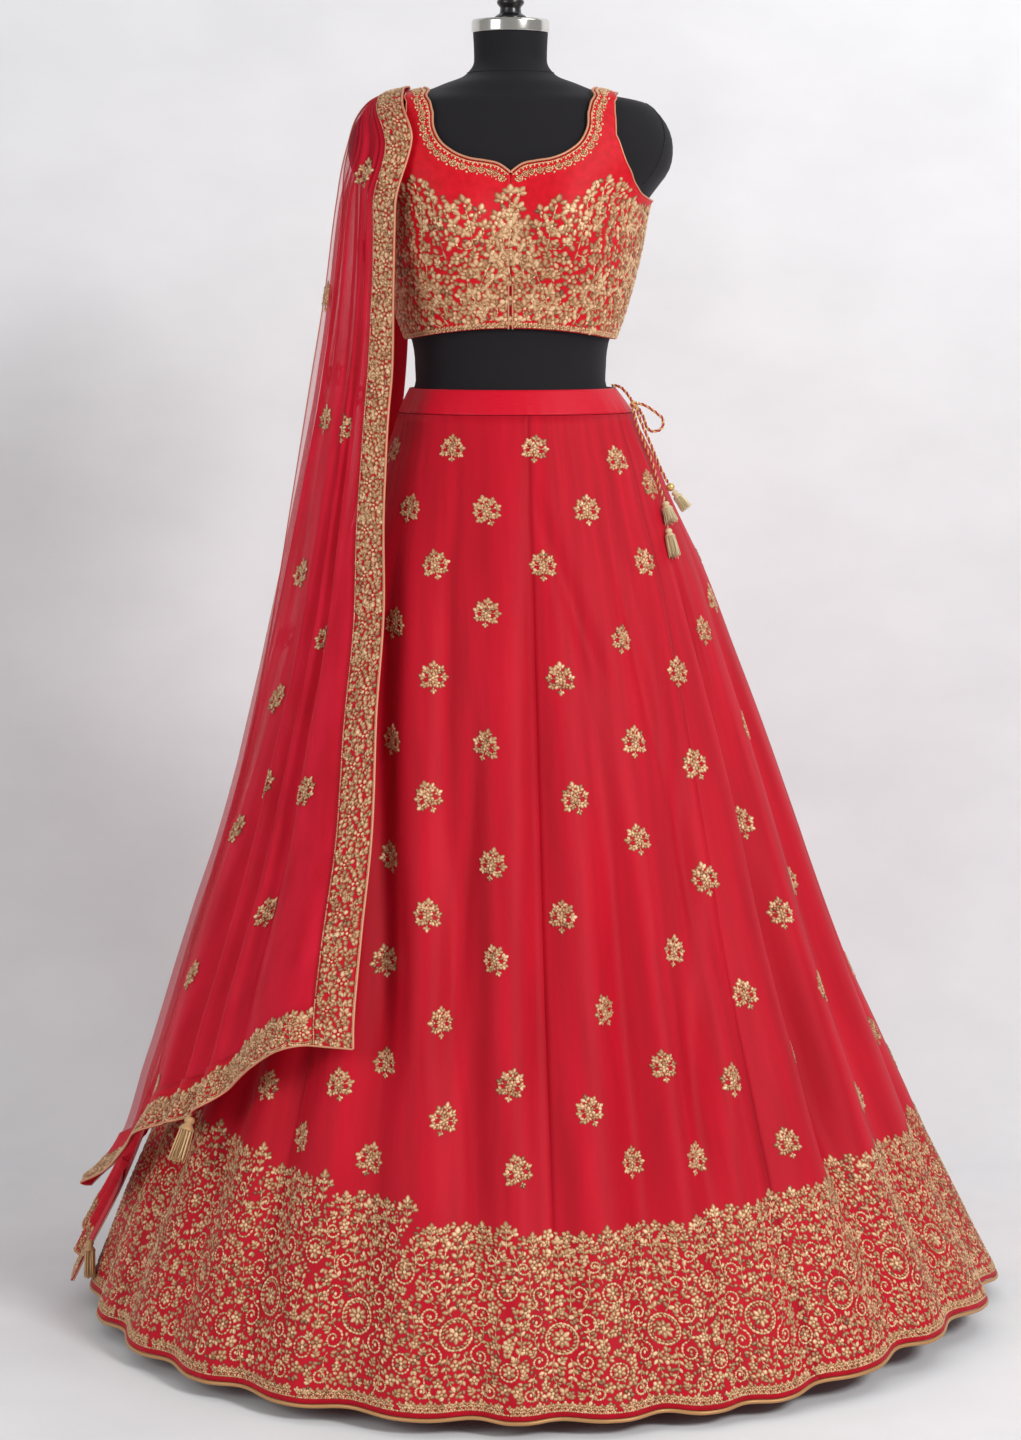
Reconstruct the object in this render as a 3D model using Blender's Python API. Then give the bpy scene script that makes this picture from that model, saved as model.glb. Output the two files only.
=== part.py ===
"""Lehenga choli with its net dupatta, worn by a limbless dress form on a pole and round base.

Metres. Origin at the centre of the base's underside, +Z up, the front faces -Y, and the wearer's left is +X.
"""

import bpy
import numpy as np

for old in list(bpy.data.objects):
    bpy.data.objects.remove(old, do_unlink=True)

TAU = 2.0 * np.pi
SEAM_GAP = 0.0003

# Colour (linear red, green, blue), roughness and metallic value of each material.
MATERIALS = {
    "form_cloth": ((0.019, 0.016, 0.021), 0.80, 0.0),
    "neck_cap_chrome": ((0.62, 0.60, 0.57), 0.22, 1.0),
    "finial_black": ((0.012, 0.011, 0.012), 0.35, 0.0),
    "stand_metal": ((0.045, 0.043, 0.045), 0.40, 1.0),
    "choli_silk": ((0.46, 0.015, 0.028), 0.50, 0.0),
    "skirt_net_over_satin": ((0.52, 0.014, 0.034), 0.55, 0.0),
    "waistband_satin": ((0.62, 0.015, 0.036), 0.42, 0.0),
    "dupatta_net": ((0.50, 0.018, 0.035), 0.65, 0.0),
    "border_embroidery": ((0.46, 0.28, 0.12), 0.45, 0.35),
    "gold_piping": ((0.58, 0.28, 0.19), 0.40, 0.30),
    "twisted_cord": ((0.52, 0.22, 0.10), 0.55, 0.20),
    "tassel_thread": ((0.55, 0.40, 0.22), 0.60, 0.10),
    "gold_bead": ((0.58, 0.40, 0.18), 0.35, 0.80),
}
# The first letters of each node's name, and its material.
LOOKS = (
    ("form_torso", "form_cloth"),
    ("neck_cap", "neck_cap_chrome"),
    ("finial", "finial_black"),
    ("stand_", "stand_metal"),
    ("choli_neck_piping", "gold_piping"),
    ("choli_", "choli_silk"),
    ("waistband", "waistband_satin"),
    ("skirt_panel_", "skirt_net_over_satin"),
    ("hem_piping_", "gold_piping"),
    ("dupatta_border_", "border_embroidery"),
    ("dupatta_end_", "border_embroidery"),
    ("dupatta_tassel_", "tassel_thread"),
    ("dupatta_", "dupatta_net"),
    ("drawstring_tassel_", "tassel_thread"),
    ("drawstring_bead", "gold_bead"),
    ("drawstring_", "twisted_cord"),
)


# Small helpers: smooth tables, closed solids from a sheet, a tube and a lathe.

def column(table, name):
    names, rows = table
    return np.array([row[names.index(name)] for row in rows], float)


def smooth(table, key, name, at):
    """A column of a table as a smooth curve over the key column, read at one or many keys."""
    x = column(table, key)
    y = column(table, name)
    if x[0] > x[-1]:
        x, y = x[::-1], y[::-1]
    step = np.diff(x)
    slope = np.diff(y) / step
    tangent = np.empty_like(y)
    tangent[0], tangent[-1] = slope[0], slope[-1]
    tangent[1:-1] = (slope[:-1] * step[1:] + slope[1:] * step[:-1]) / (step[:-1] + step[1:])
    flat = slope[:-1] * slope[1:] <= 0
    tangent[1:-1][flat] = 0.0
    at = np.clip(np.asarray(at, float), x[0], x[-1])
    i = np.clip(np.searchsorted(x, at, side="right") - 1, 0, len(x) - 2)
    h = x[i + 1] - x[i]
    u = (at - x[i]) / h
    a = (1 + 2 * u) * (1 - u) ** 2
    b = u * (1 - u) ** 2
    c = u * u * (3 - 2 * u)
    d = u * u * (u - 1)
    return a * y[i] + b * h * tangent[i] + c * y[i + 1] + d * h * tangent[i + 1]


def ramp(value, low, high):
    u = np.clip((np.asarray(value, float) - low) / (high - low), 0.0, 1.0)
    return u * u * (3.0 - 2.0 * u)


def mix(a, b, u):
    return a + (b - a) * u


def material(name):
    """The named material, made the first time it is asked for."""
    made = bpy.data.materials.get(name)
    if made is None:
        colour, roughness, metallic = MATERIALS[name]
        made = bpy.data.materials.new(name)
        made.use_nodes = True
        made.diffuse_color = colour + (1.0,)
        shader = made.node_tree.nodes["Principled BSDF"]
        shader.inputs["Base Color"].default_value = colour + (1.0,)
        shader.inputs["Roughness"].default_value = roughness
        shader.inputs["Metallic"].default_value = metallic
    return made


def dress(data, name):
    """Gives a mesh or a curve the material that its node's name calls for."""
    for first, look in LOOKS:
        if name.startswith(first):
            data.materials.append(material(look))
            return


def volume(points, faces):
    total = 0.0
    for face in faces:
        for k in range(1, len(face) - 1):
            total += np.dot(points[face[0]], np.cross(points[face[k]], points[face[k + 1]]))
    return total / 6.0


def add_solid(name, points, faces):
    points = np.asarray(points, float)
    if volume(points, faces) < 0:
        faces = [tuple(reversed(face)) for face in faces]
    mesh = bpy.data.meshes.new(name)
    mesh.from_pydata([tuple(p) for p in points], [], [tuple(f) for f in faces])
    mesh.update()
    mesh.shade_smooth()
    mesh.set_sharp_from_angle(angle=np.radians(40.0))
    dress(mesh, name)
    solid = bpy.data.objects.new(name, mesh)
    bpy.context.scene.collection.objects.link(solid)
    return solid


def grid_faces(columns, rows, closed=False, start=0):
    faces = []
    across = columns if closed else columns - 1
    for j in range(rows - 1):
        for i in range(across):
            a = start + j * columns + i
            b = start + j * columns + (i + 1) % columns
            faces.append((a, b, b + columns, a + columns))
    return faces


def shell(name, outer, inner, faces):
    """A wall between two sheets that share their faces, closed along every open edge."""
    n = len(outer)
    points = np.concatenate([outer, inner])
    every = []
    for a, b, c, d in faces:
        every += [(a, b, c), (a, c, d), (n + c, n + b, n + a), (n + d, n + c, n + a)]
    used = {}
    for face in faces:
        for k in range(len(face)):
            a, b = face[k], face[(k + 1) % len(face)]
            used[(a, b)] = True
    for a, b in used:
        if (b, a) not in used:
            every.append((b, a, n + a, n + b))
    return add_solid(name, points, every)


def tube(name, path, radius, sides=6, closed=False, up=(0.0, 0.0, 1.0), ways=None):
    """A round cord along a path, with flat ends, or closed on itself."""
    path = np.asarray(path, float)
    n = len(path)
    radius = np.broadcast_to(radius, n)
    if ways is not None:
        along = np.array(ways, float)
    elif closed:
        along = np.roll(path, -1, 0) - np.roll(path, 1, 0)
    else:
        along = np.gradient(path, axis=0)
    along /= np.linalg.norm(along, axis=1, keepdims=True)
    side = np.cross(along, np.asarray(up, float))
    for k in range(n):
        if np.linalg.norm(side[k]) < 0.2:
            side[k] = side[k - 1] if k else np.cross(along[k], (1.0, 0.0, 0.0))
        side[k] -= along[k] * np.dot(side[k], along[k])
        side[k] /= np.linalg.norm(side[k])
        if k and np.dot(side[k], side[k - 1]) < 0:
            side[k] = -side[k]
    other = np.cross(along, side)
    turn = np.arange(sides) * TAU / sides
    points = []
    for k in range(n):
        ring = np.outer(np.cos(turn), side[k]) + np.outer(np.sin(turn), other[k])
        points.append(path[k] + ring * radius[k])
    points = np.concatenate(points)
    faces = grid_faces(sides, n, closed=True)
    if closed:
        last = (n - 1) * sides
        faces += [(last + i, last + (i + 1) % sides, (i + 1) % sides, i) for i in range(sides)]
    else:
        faces.append(tuple(reversed(range(sides))))
        faces.append(tuple((n - 1) * sides + i for i in range(sides)))
    return add_solid(name, points, faces)


def cord(name, path, radius):
    """A thin round cord: a curve with a bevel and filled ends."""
    curve = bpy.data.curves.new(name, "CURVE")
    curve.dimensions = "3D"
    curve.bevel_depth = radius
    curve.bevel_resolution = 2
    curve.use_fill_caps = True
    spline = curve.splines.new("POLY")
    spline.points.add(len(path) - 1)
    for place, point in zip(spline.points, path):
        place.co = (*point, 1.0)
    spline.use_smooth = True
    dress(curve, name)
    drawn = bpy.data.objects.new(name, curve)
    bpy.context.scene.collection.objects.link(drawn)
    return drawn


def lathe(name, profile, sides, centre=(0.0, 0.0)):
    """A turned solid from (radius, height) pairs that start and end on the axis."""
    points = [(centre[0], centre[1], profile[0][1])]
    turn = np.arange(sides) * TAU / sides
    for radius, height in profile[1:-1]:
        for a in turn:
            points.append((centre[0] + radius * np.cos(a), centre[1] + radius * np.sin(a), height))
    points.append((centre[0], centre[1], profile[-1][1]))
    rings = len(profile) - 2
    faces = [(0, 1 + (i + 1) % sides, 1 + i) for i in range(sides)]
    faces += grid_faces(sides, rings, closed=True, start=1)
    last = 1 + (rings - 1) * sides
    end = len(points) - 1
    faces += [(last + i, last + (i + 1) % sides, end) for i in range(sides)]
    return add_solid(name, points, faces)


# The form: a padded torso with shoulder caps and no arms, a chrome neck cap, a turned finial, a pole and a base.

FORM = (("height", "half_width", "front", "back"), (
    (1.4225, 0.0414, 0.0450, 0.0400),
    (1.4080, 0.0406, 0.0450, 0.0405),
    (1.3930, 0.0403, 0.0465, 0.0420),
    (1.3820, 0.0450, 0.0520, 0.0465),
    (1.3740, 0.0547, 0.0600, 0.0540),
    (1.3680, 0.0713, 0.0670, 0.0620),
    (1.3625, 0.0850, 0.0715, 0.0690),
    (1.3580, 0.0975, 0.0745, 0.0735),
    (1.3540, 0.1135, 0.0775, 0.0775),
    (1.3510, 0.1300, 0.0800, 0.0810),
    (1.3485, 0.1420, 0.0820, 0.0835),
    (1.3420, 0.1560, 0.0860, 0.0880),
    (1.3330, 0.1654, 0.0900, 0.0920),
    (1.3115, 0.1777, 0.0980, 0.1000),
    (1.2950, 0.1800, 0.1030, 0.1040),
    (1.2710, 0.1750, 0.1080, 0.1070),
    (1.2530, 0.1620, 0.1100, 0.1080),
    (1.2380, 0.1510, 0.1110, 0.1080),
    (1.2200, 0.1462, 0.1110, 0.1070),
    (1.1960, 0.1422, 0.1100, 0.1050),
    (1.1520, 0.1322, 0.1040, 0.0990),
    (1.1080, 0.1186, 0.0960, 0.0920),
    (1.0835, 0.1095, 0.0920, 0.0890),
    (1.0580, 0.1066, 0.0900, 0.0880),
    (1.0320, 0.1078, 0.0925, 0.0920),
    (1.0180, 0.1166, 0.1034, 0.1008),
    (0.9800, 0.1215, 0.1060, 0.1040),
    (0.9200, 0.1330, 0.1060, 0.1130),
    (0.8600, 0.1420, 0.1080, 0.1190),
    (0.8150, 0.1380, 0.1030, 0.1140),
    (0.8000, 0.1300, 0.0950, 0.1060),
))
CUP_SIDE, CUP_HEIGHT, CUP_RISE = 0.073, 1.2050, 0.0300
CUP_WIDTH, CUP_TALL = 0.0520, 0.0560
FORM_SIDES = 24


def form_ring(angle, height):
    """Points of the torso at angles from the front, turning to the wearer's left."""
    angle = np.asarray(angle, float)
    height = np.asarray(height, float)
    across = smooth(FORM, "height", "half_width", height)
    front = smooth(FORM, "height", "front", height)
    back = smooth(FORM, "height", "back", height)
    sine, cosine = np.sin(angle), np.cos(angle)
    x = across * sine
    y = np.where(cosine > 0, -front * cosine, -back * cosine)
    lift = np.exp(-((height - CUP_HEIGHT) / CUP_TALL) ** 2)
    lift = lift * (np.exp(-((x - CUP_SIDE) / CUP_WIDTH) ** 2) + np.exp(-((x + CUP_SIDE) / CUP_WIDTH) ** 2))
    y = y - CUP_RISE * lift * np.clip(cosine, 0.0, 1.0)
    return np.stack(np.broadcast_arrays(x, y, height), -1)


def form_normal(angle, height):
    step = 1e-4
    by_angle = form_ring(angle + step, height) - form_ring(angle - step, height)
    by_height = form_ring(angle, height + step) - form_ring(angle, height - step)
    normal = np.cross(by_angle, by_height)
    return normal / np.linalg.norm(normal, axis=-1, keepdims=True)


def off_form(angle, height, out):
    angle, height = np.broadcast_arrays(np.asarray(angle, float), np.asarray(height, float))
    return form_ring(angle, height) + form_normal(angle, height) * np.asarray(out, float)[..., None]


def build_form():
    heights = column(FORM, "height")
    turn = np.arange(FORM_SIDES) * TAU / FORM_SIDES
    rings = [form_ring(turn, np.full(FORM_SIDES, z)) for z in heights]
    close_under = rings[-1] * np.array([0.80, 0.80, 1.0]) - np.array([0.0, 0.0, 0.008])
    points = np.concatenate(rings + [close_under])
    faces = grid_faces(FORM_SIDES, len(rings) + 1, closed=True)
    faces.append(tuple(reversed(range(FORM_SIDES))))
    last = len(rings) * FORM_SIDES
    faces.append(tuple(last + i for i in range(FORM_SIDES)))
    add_solid("form_torso", points, faces)


CAP_PROFILE = ((0.0, 1.4228), (0.0425, 1.4228), (0.0430, 1.4245), (0.0430, 1.4350), (0.0415, 1.4372), (0.0, 1.4372))
FINIAL_PROFILE = (
    (0.0, 1.4375), (0.0175, 1.4375), (0.0175, 1.4405), (0.0120, 1.4440), (0.0112, 1.4500), (0.0150, 1.4545),
    (0.0150, 1.4575), (0.0125, 1.4600), (0.0150, 1.4660), (0.0185, 1.4740), (0.0170, 1.4830), (0.0100, 1.4895),
    (0.0, 1.4910),
)
POLE_RADIUS = 0.0125
BASE_RADIUS = 0.1900
POLE_PROFILE = (
    (0.0, 0.0263), (0.0240, 0.0263), (0.0240, 0.0400), (POLE_RADIUS, 0.0430), (POLE_RADIUS, 0.7700),
    (0.0300, 0.7740), (0.0300, 0.7917), (0.0, 0.7917),
)
BASE_PROFILE = (
    (0.0, 0.0), (BASE_RADIUS - 0.003, 0.0), (BASE_RADIUS, 0.003), (BASE_RADIUS, 0.0090), (BASE_RADIUS - 0.004, 0.0120),
    (0.0700, 0.0190), (0.0380, 0.0260), (0.0, 0.0260),
)


# The choli: two front pieces that meet at a hooked centre opening, and a back. Each is a sheet held off the form.

CHOLI_WALL = 0.0016
CHOLI_EASE = (("height", "out"), (
    (1.3700, 0.0030),
    (1.3300, 0.0034),
    (1.2600, 0.0043),
    (1.1960, 0.0040),
    (1.1520, 0.0042),
    (1.1080, 0.0048),
    (1.0800, 0.0052),
))
HEM_SIDE, HEM_CENTRE = 1.0885, 1.1010
# Top edge of the front half: centre notch, neckline to the strap, armhole to the side seam.
FRONT_TOP = (("angle", "height"), (
    (0.0, 1.2640),
    (4.5, 1.2735),
    (9.0, 1.2765),
    (15.0, 1.2795),
    (21.0, 1.2880),
    (25.5, 1.3000),
    (28.5, 1.3150),
    (31.0, 1.3320),
    (35.0, 1.3200),
    (39.0, 1.3080),
    (42.0, 1.2870),
    (48.0, 1.2680),
    (58.0, 1.2520),
    (72.0, 1.2440),
    (90.0, 1.2420),
))
STRAP_FIRST, STRAP_LAST = 31.0, 39.0
# The strap from its foot to the shoulder seam: its neck edge and its arm edge.
FRONT_STRAP = (("along", "neck_angle", "neck_height", "arm_angle", "arm_height"), (
    (0.00, 31.0, 1.3320, 39.0, 1.3080),
    (0.22, 34.0, 1.3410, 40.5, 1.3220),
    (0.42, 40.0, 1.3480, 43.0, 1.3350),
    (0.62, 50.0, 1.3532, 47.5, 1.3440),
    (0.80, 66.0, 1.3567, 59.0, 1.3505),
    (1.00, 90.0, 1.3588, 90.0, 1.3538),
))
BACK_TOP = (("angle", "height"), (
    (90.0, 1.2420),
    (106.0, 1.2450),
    (120.0, 1.2530),
    (131.0, 1.2690),
    (138.0, 1.2880),
    (141.0, 1.3080),
    (145.0, 1.3150),
    (149.0, 1.3200),
    (152.0, 1.3020),
    (157.0, 1.2850),
    (164.0, 1.2730),
    (172.0, 1.2680),
    (180.0, 1.2670),
))
BACK_STRAP = (("along", "neck_angle", "neck_height", "arm_angle", "arm_height"), (
    (0.00, 149.0, 1.3200, 141.0, 1.3080),
    (0.22, 146.0, 1.3340, 139.5, 1.3220),
    (0.42, 140.0, 1.3445, 137.0, 1.3350),
    (0.62, 130.0, 1.3520, 132.5, 1.3440),
    (0.80, 114.0, 1.3565, 121.0, 1.3505),
    (1.00, 90.0, 1.3588, 90.0, 1.3538),
))


def choli_out(height):
    return smooth(CHOLI_EASE, "height", "out", height)


def hem_height(angle):
    return mix(HEM_SIDE, HEM_CENTRE, np.clip(np.cos(angle), 0.0, 1.0) ** 2)


def front_slit(height):
    """Half width of the centre opening, which gapes a little low down."""
    return 0.00015 + 0.0009 * ramp(1.25 - height, 0.0, 0.10)


def strap_rows(table, count):
    along = np.linspace(0.0, 1.0, count)
    names = ("neck_angle", "neck_height", "arm_angle", "arm_height")
    return [smooth(table, "along", name, along) for name in names]


def choli_piece(top, strap, rows, strap_count):
    """Angles and heights of a half panel with its strap, and the quads between them."""
    marks = column(top, "angle")
    at = marks
    peak = smooth(top, "angle", "height", at)
    columns = len(at)
    angle = np.radians(at)
    grid_angle = np.repeat(angle[None], rows, 0)
    u = np.linspace(0.0, 1.0, rows)[:, None]
    grid_height = mix(hem_height(grid_angle), peak[None], u)
    points = [np.stack([grid_angle, grid_height], -1).reshape(-1, 2)]
    faces = grid_faces(columns, rows)
    low, high = min(STRAP_FIRST, STRAP_LAST), max(STRAP_FIRST, STRAP_LAST)
    if marks[0] >= 89.0:
        low, high = 141.0, 149.0
    foot = [i for i in range(columns) if low - 0.01 <= at[i] <= high + 0.01]
    wide = len(foot)
    neck_a, neck_h, arm_a, arm_h = strap_rows(strap, strap_count)
    neck_first = marks[0] < 89.0
    top_row = (rows - 1) * columns
    previous = [top_row + i for i in foot]
    total = rows * columns
    share = (at[foot] - at[foot[0]]) / (at[foot[-1]] - at[foot[0]])
    for j in range(1, strap_count):
        if neck_first:
            a = mix(neck_a[j], arm_a[j], share)
            h = mix(neck_h[j], arm_h[j], share)
        else:
            a = mix(arm_a[j], neck_a[j], share)
            h = mix(arm_h[j], neck_h[j], share)
        points.append(np.stack([np.radians(a), h], -1))
        now = list(range(total, total + wide))
        for i in range(wide - 1):
            faces.append((previous[i], previous[i + 1], now[i + 1], now[i]))
        previous = now
        total += wide
    return np.concatenate(points), faces


def build_choli():
    front, faces = choli_piece(FRONT_TOP, FRONT_STRAP, 8, 6)
    for name, side in (("choli_front_left", 1.0), ("choli_front_right", -1.0)):
        walls = []
        for extra in (CHOLI_WALL, 0.0):
            points = off_form(front[:, 0], front[:, 1], choli_out(front[:, 1]) + extra)
            slit = front_slit(front[:, 1])
            points[:, 0] = np.maximum(points[:, 0], slit)
            points[:, 1] = np.minimum(points[:, 1], -0.5 * SEAM_GAP)
            points[:, 0] *= side
            walls.append(points)
        shell(name, walls[0], walls[1], faces)
    half, faces = choli_piece(BACK_TOP, BACK_STRAP, 6, 6)
    walls = []
    for extra in (CHOLI_WALL, 0.0):
        points = off_form(half[:, 0], half[:, 1], choli_out(half[:, 1]) + extra)
        points[:, 1] = np.maximum(points[:, 1], 0.5 * SEAM_GAP)
        walls.append(points)
    middle = half[:, 0] > np.pi - 1e-6
    count = len(half)
    other = np.arange(count)
    other[~middle] = count + np.arange((~middle).sum())
    joined = []
    for points in walls:
        points[middle, 0] = 0.0
        mirror = points[~middle] * np.array([-1.0, 1.0, 1.0])
        joined.append(np.concatenate([points, mirror]))
    every = list(faces) + [tuple(int(other[v]) for v in reversed(face)) for face in faces]
    shell("choli_back", joined[0], joined[1], every)


PIPING_RADIUS = 0.0013


def neck_line(table_top, strap, end_angle, count):
    """Angle and height along the neck edge, from the centre to the shoulder."""
    marks = column(table_top, "angle")
    at = marks[(marks <= end_angle + 0.01) if end_angle < 90 else (marks >= end_angle - 0.01)]
    if end_angle > 90:
        at = at[::-1]
    high = smooth(table_top, "angle", "height", at)
    neck_a, neck_h, _, _ = strap_rows(strap, count)
    return np.radians(np.concatenate([at, neck_a[1:]])), np.concatenate([high, neck_h[1:]])


def build_neck_piping():
    rest = PIPING_RADIUS + SEAM_GAP + 0.0005
    halves = []
    for top, strap, end in ((FRONT_TOP, FRONT_STRAP, 31.0), (BACK_TOP, BACK_STRAP, 149.0)):
        angle, height = neck_line(top, strap, end, 6)
        line = off_form(angle, height, choli_out(height) + 0.5 * CHOLI_WALL)
        along = np.gradient(line, axis=0)
        normal = form_normal(angle, height)
        away = np.cross(normal, along)
        away /= np.linalg.norm(away, axis=1, keepdims=True)
        away *= np.sign(away[:, 2:3] + 1e-9)
        halves.append((line, away, normal))
    line, away, normal = halves[0]
    away[-3:] = np.array([-1.0, 0.0, 0.25]) / np.linalg.norm([-1.0, 0.0, 0.25])
    front = line + away * rest + normal * 0.0004
    front[0] = front[0] + np.array([0.0016, 0.0, 0.0006])
    line, away, normal = halves[1]
    away[-3:] = np.array([-1.0, 0.0, 0.25]) / np.linalg.norm([-1.0, 0.0, 0.25])
    back = line + away * rest + normal * 0.0004
    left = np.concatenate([front, back[::-1][1:]])
    mirror = left[::-1][1:] * np.array([-1.0, 1.0, 1.0])
    path = np.concatenate([left, mirror])
    tube("choli_neck_piping", path, PIPING_RADIUS, sides=4, up=(0.0, 0.3, 1.0))


# The lehenga skirt: a cone that spreads from the waistband, with soft folds that deepen to the hem.

SKIRT = (("height", "left", "right", "front", "back"), (
    (1.0055, 0.1365, 0.1245, 0.1120, 0.1080),
    (0.9750, 0.1500, 0.1345, 0.1300, 0.1240),
    (0.9520, 0.1620, 0.1450, 0.1440, 0.1360),
    (0.9070, 0.1810, 0.1630, 0.1700, 0.1600),
    (0.8400, 0.2130, 0.1960, 0.2050, 0.1920),
    (0.7380, 0.2530, 0.2325, 0.2500, 0.2320),
    (0.6360, 0.2930, 0.2620, 0.2920, 0.2700),
    (0.5450, 0.3280, 0.2850, 0.3300, 0.3050),
    (0.4530, 0.3630, 0.3075, 0.3680, 0.3400),
    (0.3830, 0.3920, 0.3330, 0.3970, 0.3660),
    (0.3140, 0.4220, 0.3600, 0.4250, 0.3920),
    (0.2440, 0.4510, 0.3880, 0.4550, 0.4180),
    (0.1860, 0.4750, 0.4110, 0.4800, 0.4400),
    (0.1270, 0.5045, 0.4370, 0.5050, 0.4620),
    (0.0800, 0.5280, 0.4550, 0.5250, 0.4800),
    (0.0170, 0.5610, 0.4800, 0.5490, 0.5020),
))
SKIRT_TOP, SKIRT_HEM = 1.0055, 0.0200
SKIRT_WALL = 0.0018
# One row per fold's hollow, from the wearer's right back round the front. Angles in degrees from the front.
FOLDS = (("hem_angle", "waist_angle", "depth", "start", "lift"), (
    (-173.0, -173.0, 0.030, 0.15, 0.000),
    (-157.0, -158.0, 0.034, 0.20, 0.000),
    (-141.0, -144.0, 0.028, 0.15, 0.000),
    (-125.0, -130.0, 0.034, 0.20, 0.000),
    (-109.0, -117.0, 0.030, 0.15, 0.000),
    (-93.0, -105.0, 0.030, 0.20, 0.000),
    (-78.0, -94.0, 0.026, 0.20, 0.000),
    (-64.0, -84.0, 0.030, 0.25, 0.000),
    (-50.0, -75.0, 0.026, 0.20, 0.000),
    (-36.0, -66.0, 0.028, 0.20, 0.000),
    (-20.5, -56.0, 0.030, 0.10, 0.000),
    (-4.5, -26.0, 0.026, 0.05, 0.000),
    (5.3, 8.0, 0.020, 0.05, 0.000),
    (16.4, 25.0, 0.030, 0.25, 0.000),
    (26.0, 45.0, 0.022, 0.30, 0.000),
    (35.5, 60.0, 0.024, 0.35, 0.006),
    (49.5, 74.0, 0.036, 0.25, 0.013),
    (62.0, 86.0, 0.028, 0.40, 0.017),
    (79.5, 98.0, 0.044, 0.45, 0.008),
    (97.0, 110.0, 0.034, 0.30, 0.003),
    (115.0, 123.0, 0.030, 0.20, 0.000),
    (133.0, 138.0, 0.034, 0.20, 0.000),
    (151.0, 154.0, 0.030, 0.15, 0.000),
    (169.0, 170.0, 0.032, 0.20, 0.000),
))
FOLD_COUNT = len(FOLDS[1])
# Share of a fold's depth that the stiff worked hem takes out of it.
HEM_EASE = 0.62
PANELS = 8
FOLD_STEPS = (4, 6, 6, 6, 6, 6, 6, 4)
SKIRT_ROWS = 10


def skirt_base(angle, height):
    """Half widths and depth of the unfolded skirt, as a point on its ellipse at each angle."""
    left = smooth(SKIRT, "height", "left", height)
    right = smooth(SKIRT, "height", "right", height)
    front = smooth(SKIRT, "height", "front", height)
    back = smooth(SKIRT, "height", "back", height)
    sine, cosine = np.sin(angle), np.cos(angle)
    x = np.where(sine > 0, left, right) * sine
    y = np.where(cosine > 0, -front, -back) * cosine
    return x, y


def fold_angle(turn, along):
    """Angle of a fold line: turn counts folds round the skirt, along runs from the waist to the hem."""
    hem = column(FOLDS, "hem_angle")
    waist = column(FOLDS, "waist_angle")
    marks = np.arange(-3, FOLD_COUNT + 4)
    laps = np.floor_divide(marks, FOLD_COUNT) * 360.0
    hem = hem[marks % FOLD_COUNT] + laps
    waist = waist[marks % FOLD_COUNT] + laps
    at_hem = smooth((("turn", "angle"), tuple(zip(marks, hem))), "turn", "angle", turn)
    at_waist = smooth((("turn", "angle"), tuple(zip(marks, waist))), "turn", "angle", turn)
    radius = 0.125 + 0.415 * np.asarray(along, float)
    share = (0.125 / radius - 0.125 / 0.540) / (1.0 - 0.125 / 0.540)
    return np.radians(mix(at_hem, at_waist, share))


def fold_depth(turn, along):
    """How far a point sits in from the skirt's outline."""
    depth = column(FOLDS, "depth")
    start = column(FOLDS, "start")
    near = np.floor(np.asarray(turn, float) + 0.5)
    apart = np.asarray(turn, float) - near
    index = near.astype(int) % FOLD_COUNT
    grown = ramp(along, start[index] - 0.15, 1.05) * (1.0 - HEM_EASE * ramp(along, 0.60, 1.0))
    return depth[index] * grown * (0.5 + 0.5 * np.cos(TAU * apart)) ** 1.4


def hem_lift(turn, along):
    """The hem rides up a little at the wearer's left front."""
    marks = np.arange(-1, FOLD_COUNT + 2)
    lift = column(FOLDS, "lift")[marks % FOLD_COUNT]
    keyed = (("turn", "lift"), tuple(zip(marks, lift)))
    return smooth(keyed, "turn", "lift", turn) * np.asarray(along, float) ** 4


def skirt_point(turn, along, out=0.0):
    turn, along = np.broadcast_arrays(np.asarray(turn, float), np.asarray(along, float))
    angle = fold_angle(turn, along)
    inward = fold_depth(turn, along)
    height = mix(SKIRT_TOP, SKIRT_HEM, along) + 0.25 * inward * ramp(along, 0.8, 1.0) + hem_lift(turn, along)
    x, y = skirt_base(angle, height)
    size = np.hypot(x, y)
    scale = (size - inward + out) / size
    return np.stack([x * scale, y * scale, height], -1)


def skirt_normal(turn, along):
    step = 1e-3
    by_turn = skirt_point(turn + step, along) - skirt_point(turn - step, along)
    by_along = skirt_point(turn, along + step) - skirt_point(turn, along - step)
    normal = np.cross(by_along, by_turn)
    return normal / np.linalg.norm(normal, axis=-1, keepdims=True)


def build_skirt():
    per_panel = FOLD_COUNT // PANELS
    for panel in range(PANELS):
        first = panel * per_panel
        turn = np.linspace(first, first + per_panel, per_panel * FOLD_STEPS[panel] + 1)
        along = np.linspace(0.0, 1.0, SKIRT_ROWS)
        tt, aa = np.meshgrid(turn, along)
        middle = skirt_point(tt, aa)
        normal = skirt_normal(tt, aa)
        away = side_way(tt, aa)
        middle[:, 0] += away[:, 0] * 0.8 * SEAM_GAP
        middle[:, -1] -= away[:, -1] * 0.8 * SEAM_GAP
        outer = (middle + normal * 0.5 * SKIRT_WALL).reshape(-1, 3)
        inner = (middle - normal * 0.5 * SKIRT_WALL).reshape(-1, 3)
        shell("skirt_panel_%d" % (panel + 1), outer, inner, grid_faces(len(turn), SKIRT_ROWS))
        build_hem_piping(panel, turn)


def side_way(turn, along):
    """Unit way across the fold lines, along the cloth."""
    step = 1e-3
    across = skirt_point(turn + step, along) - skirt_point(turn - step, along)
    across = across - skirt_normal(turn, along) * np.sum(across * skirt_normal(turn, along), -1, keepdims=True)
    return across / np.linalg.norm(across, axis=-1, keepdims=True)


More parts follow.
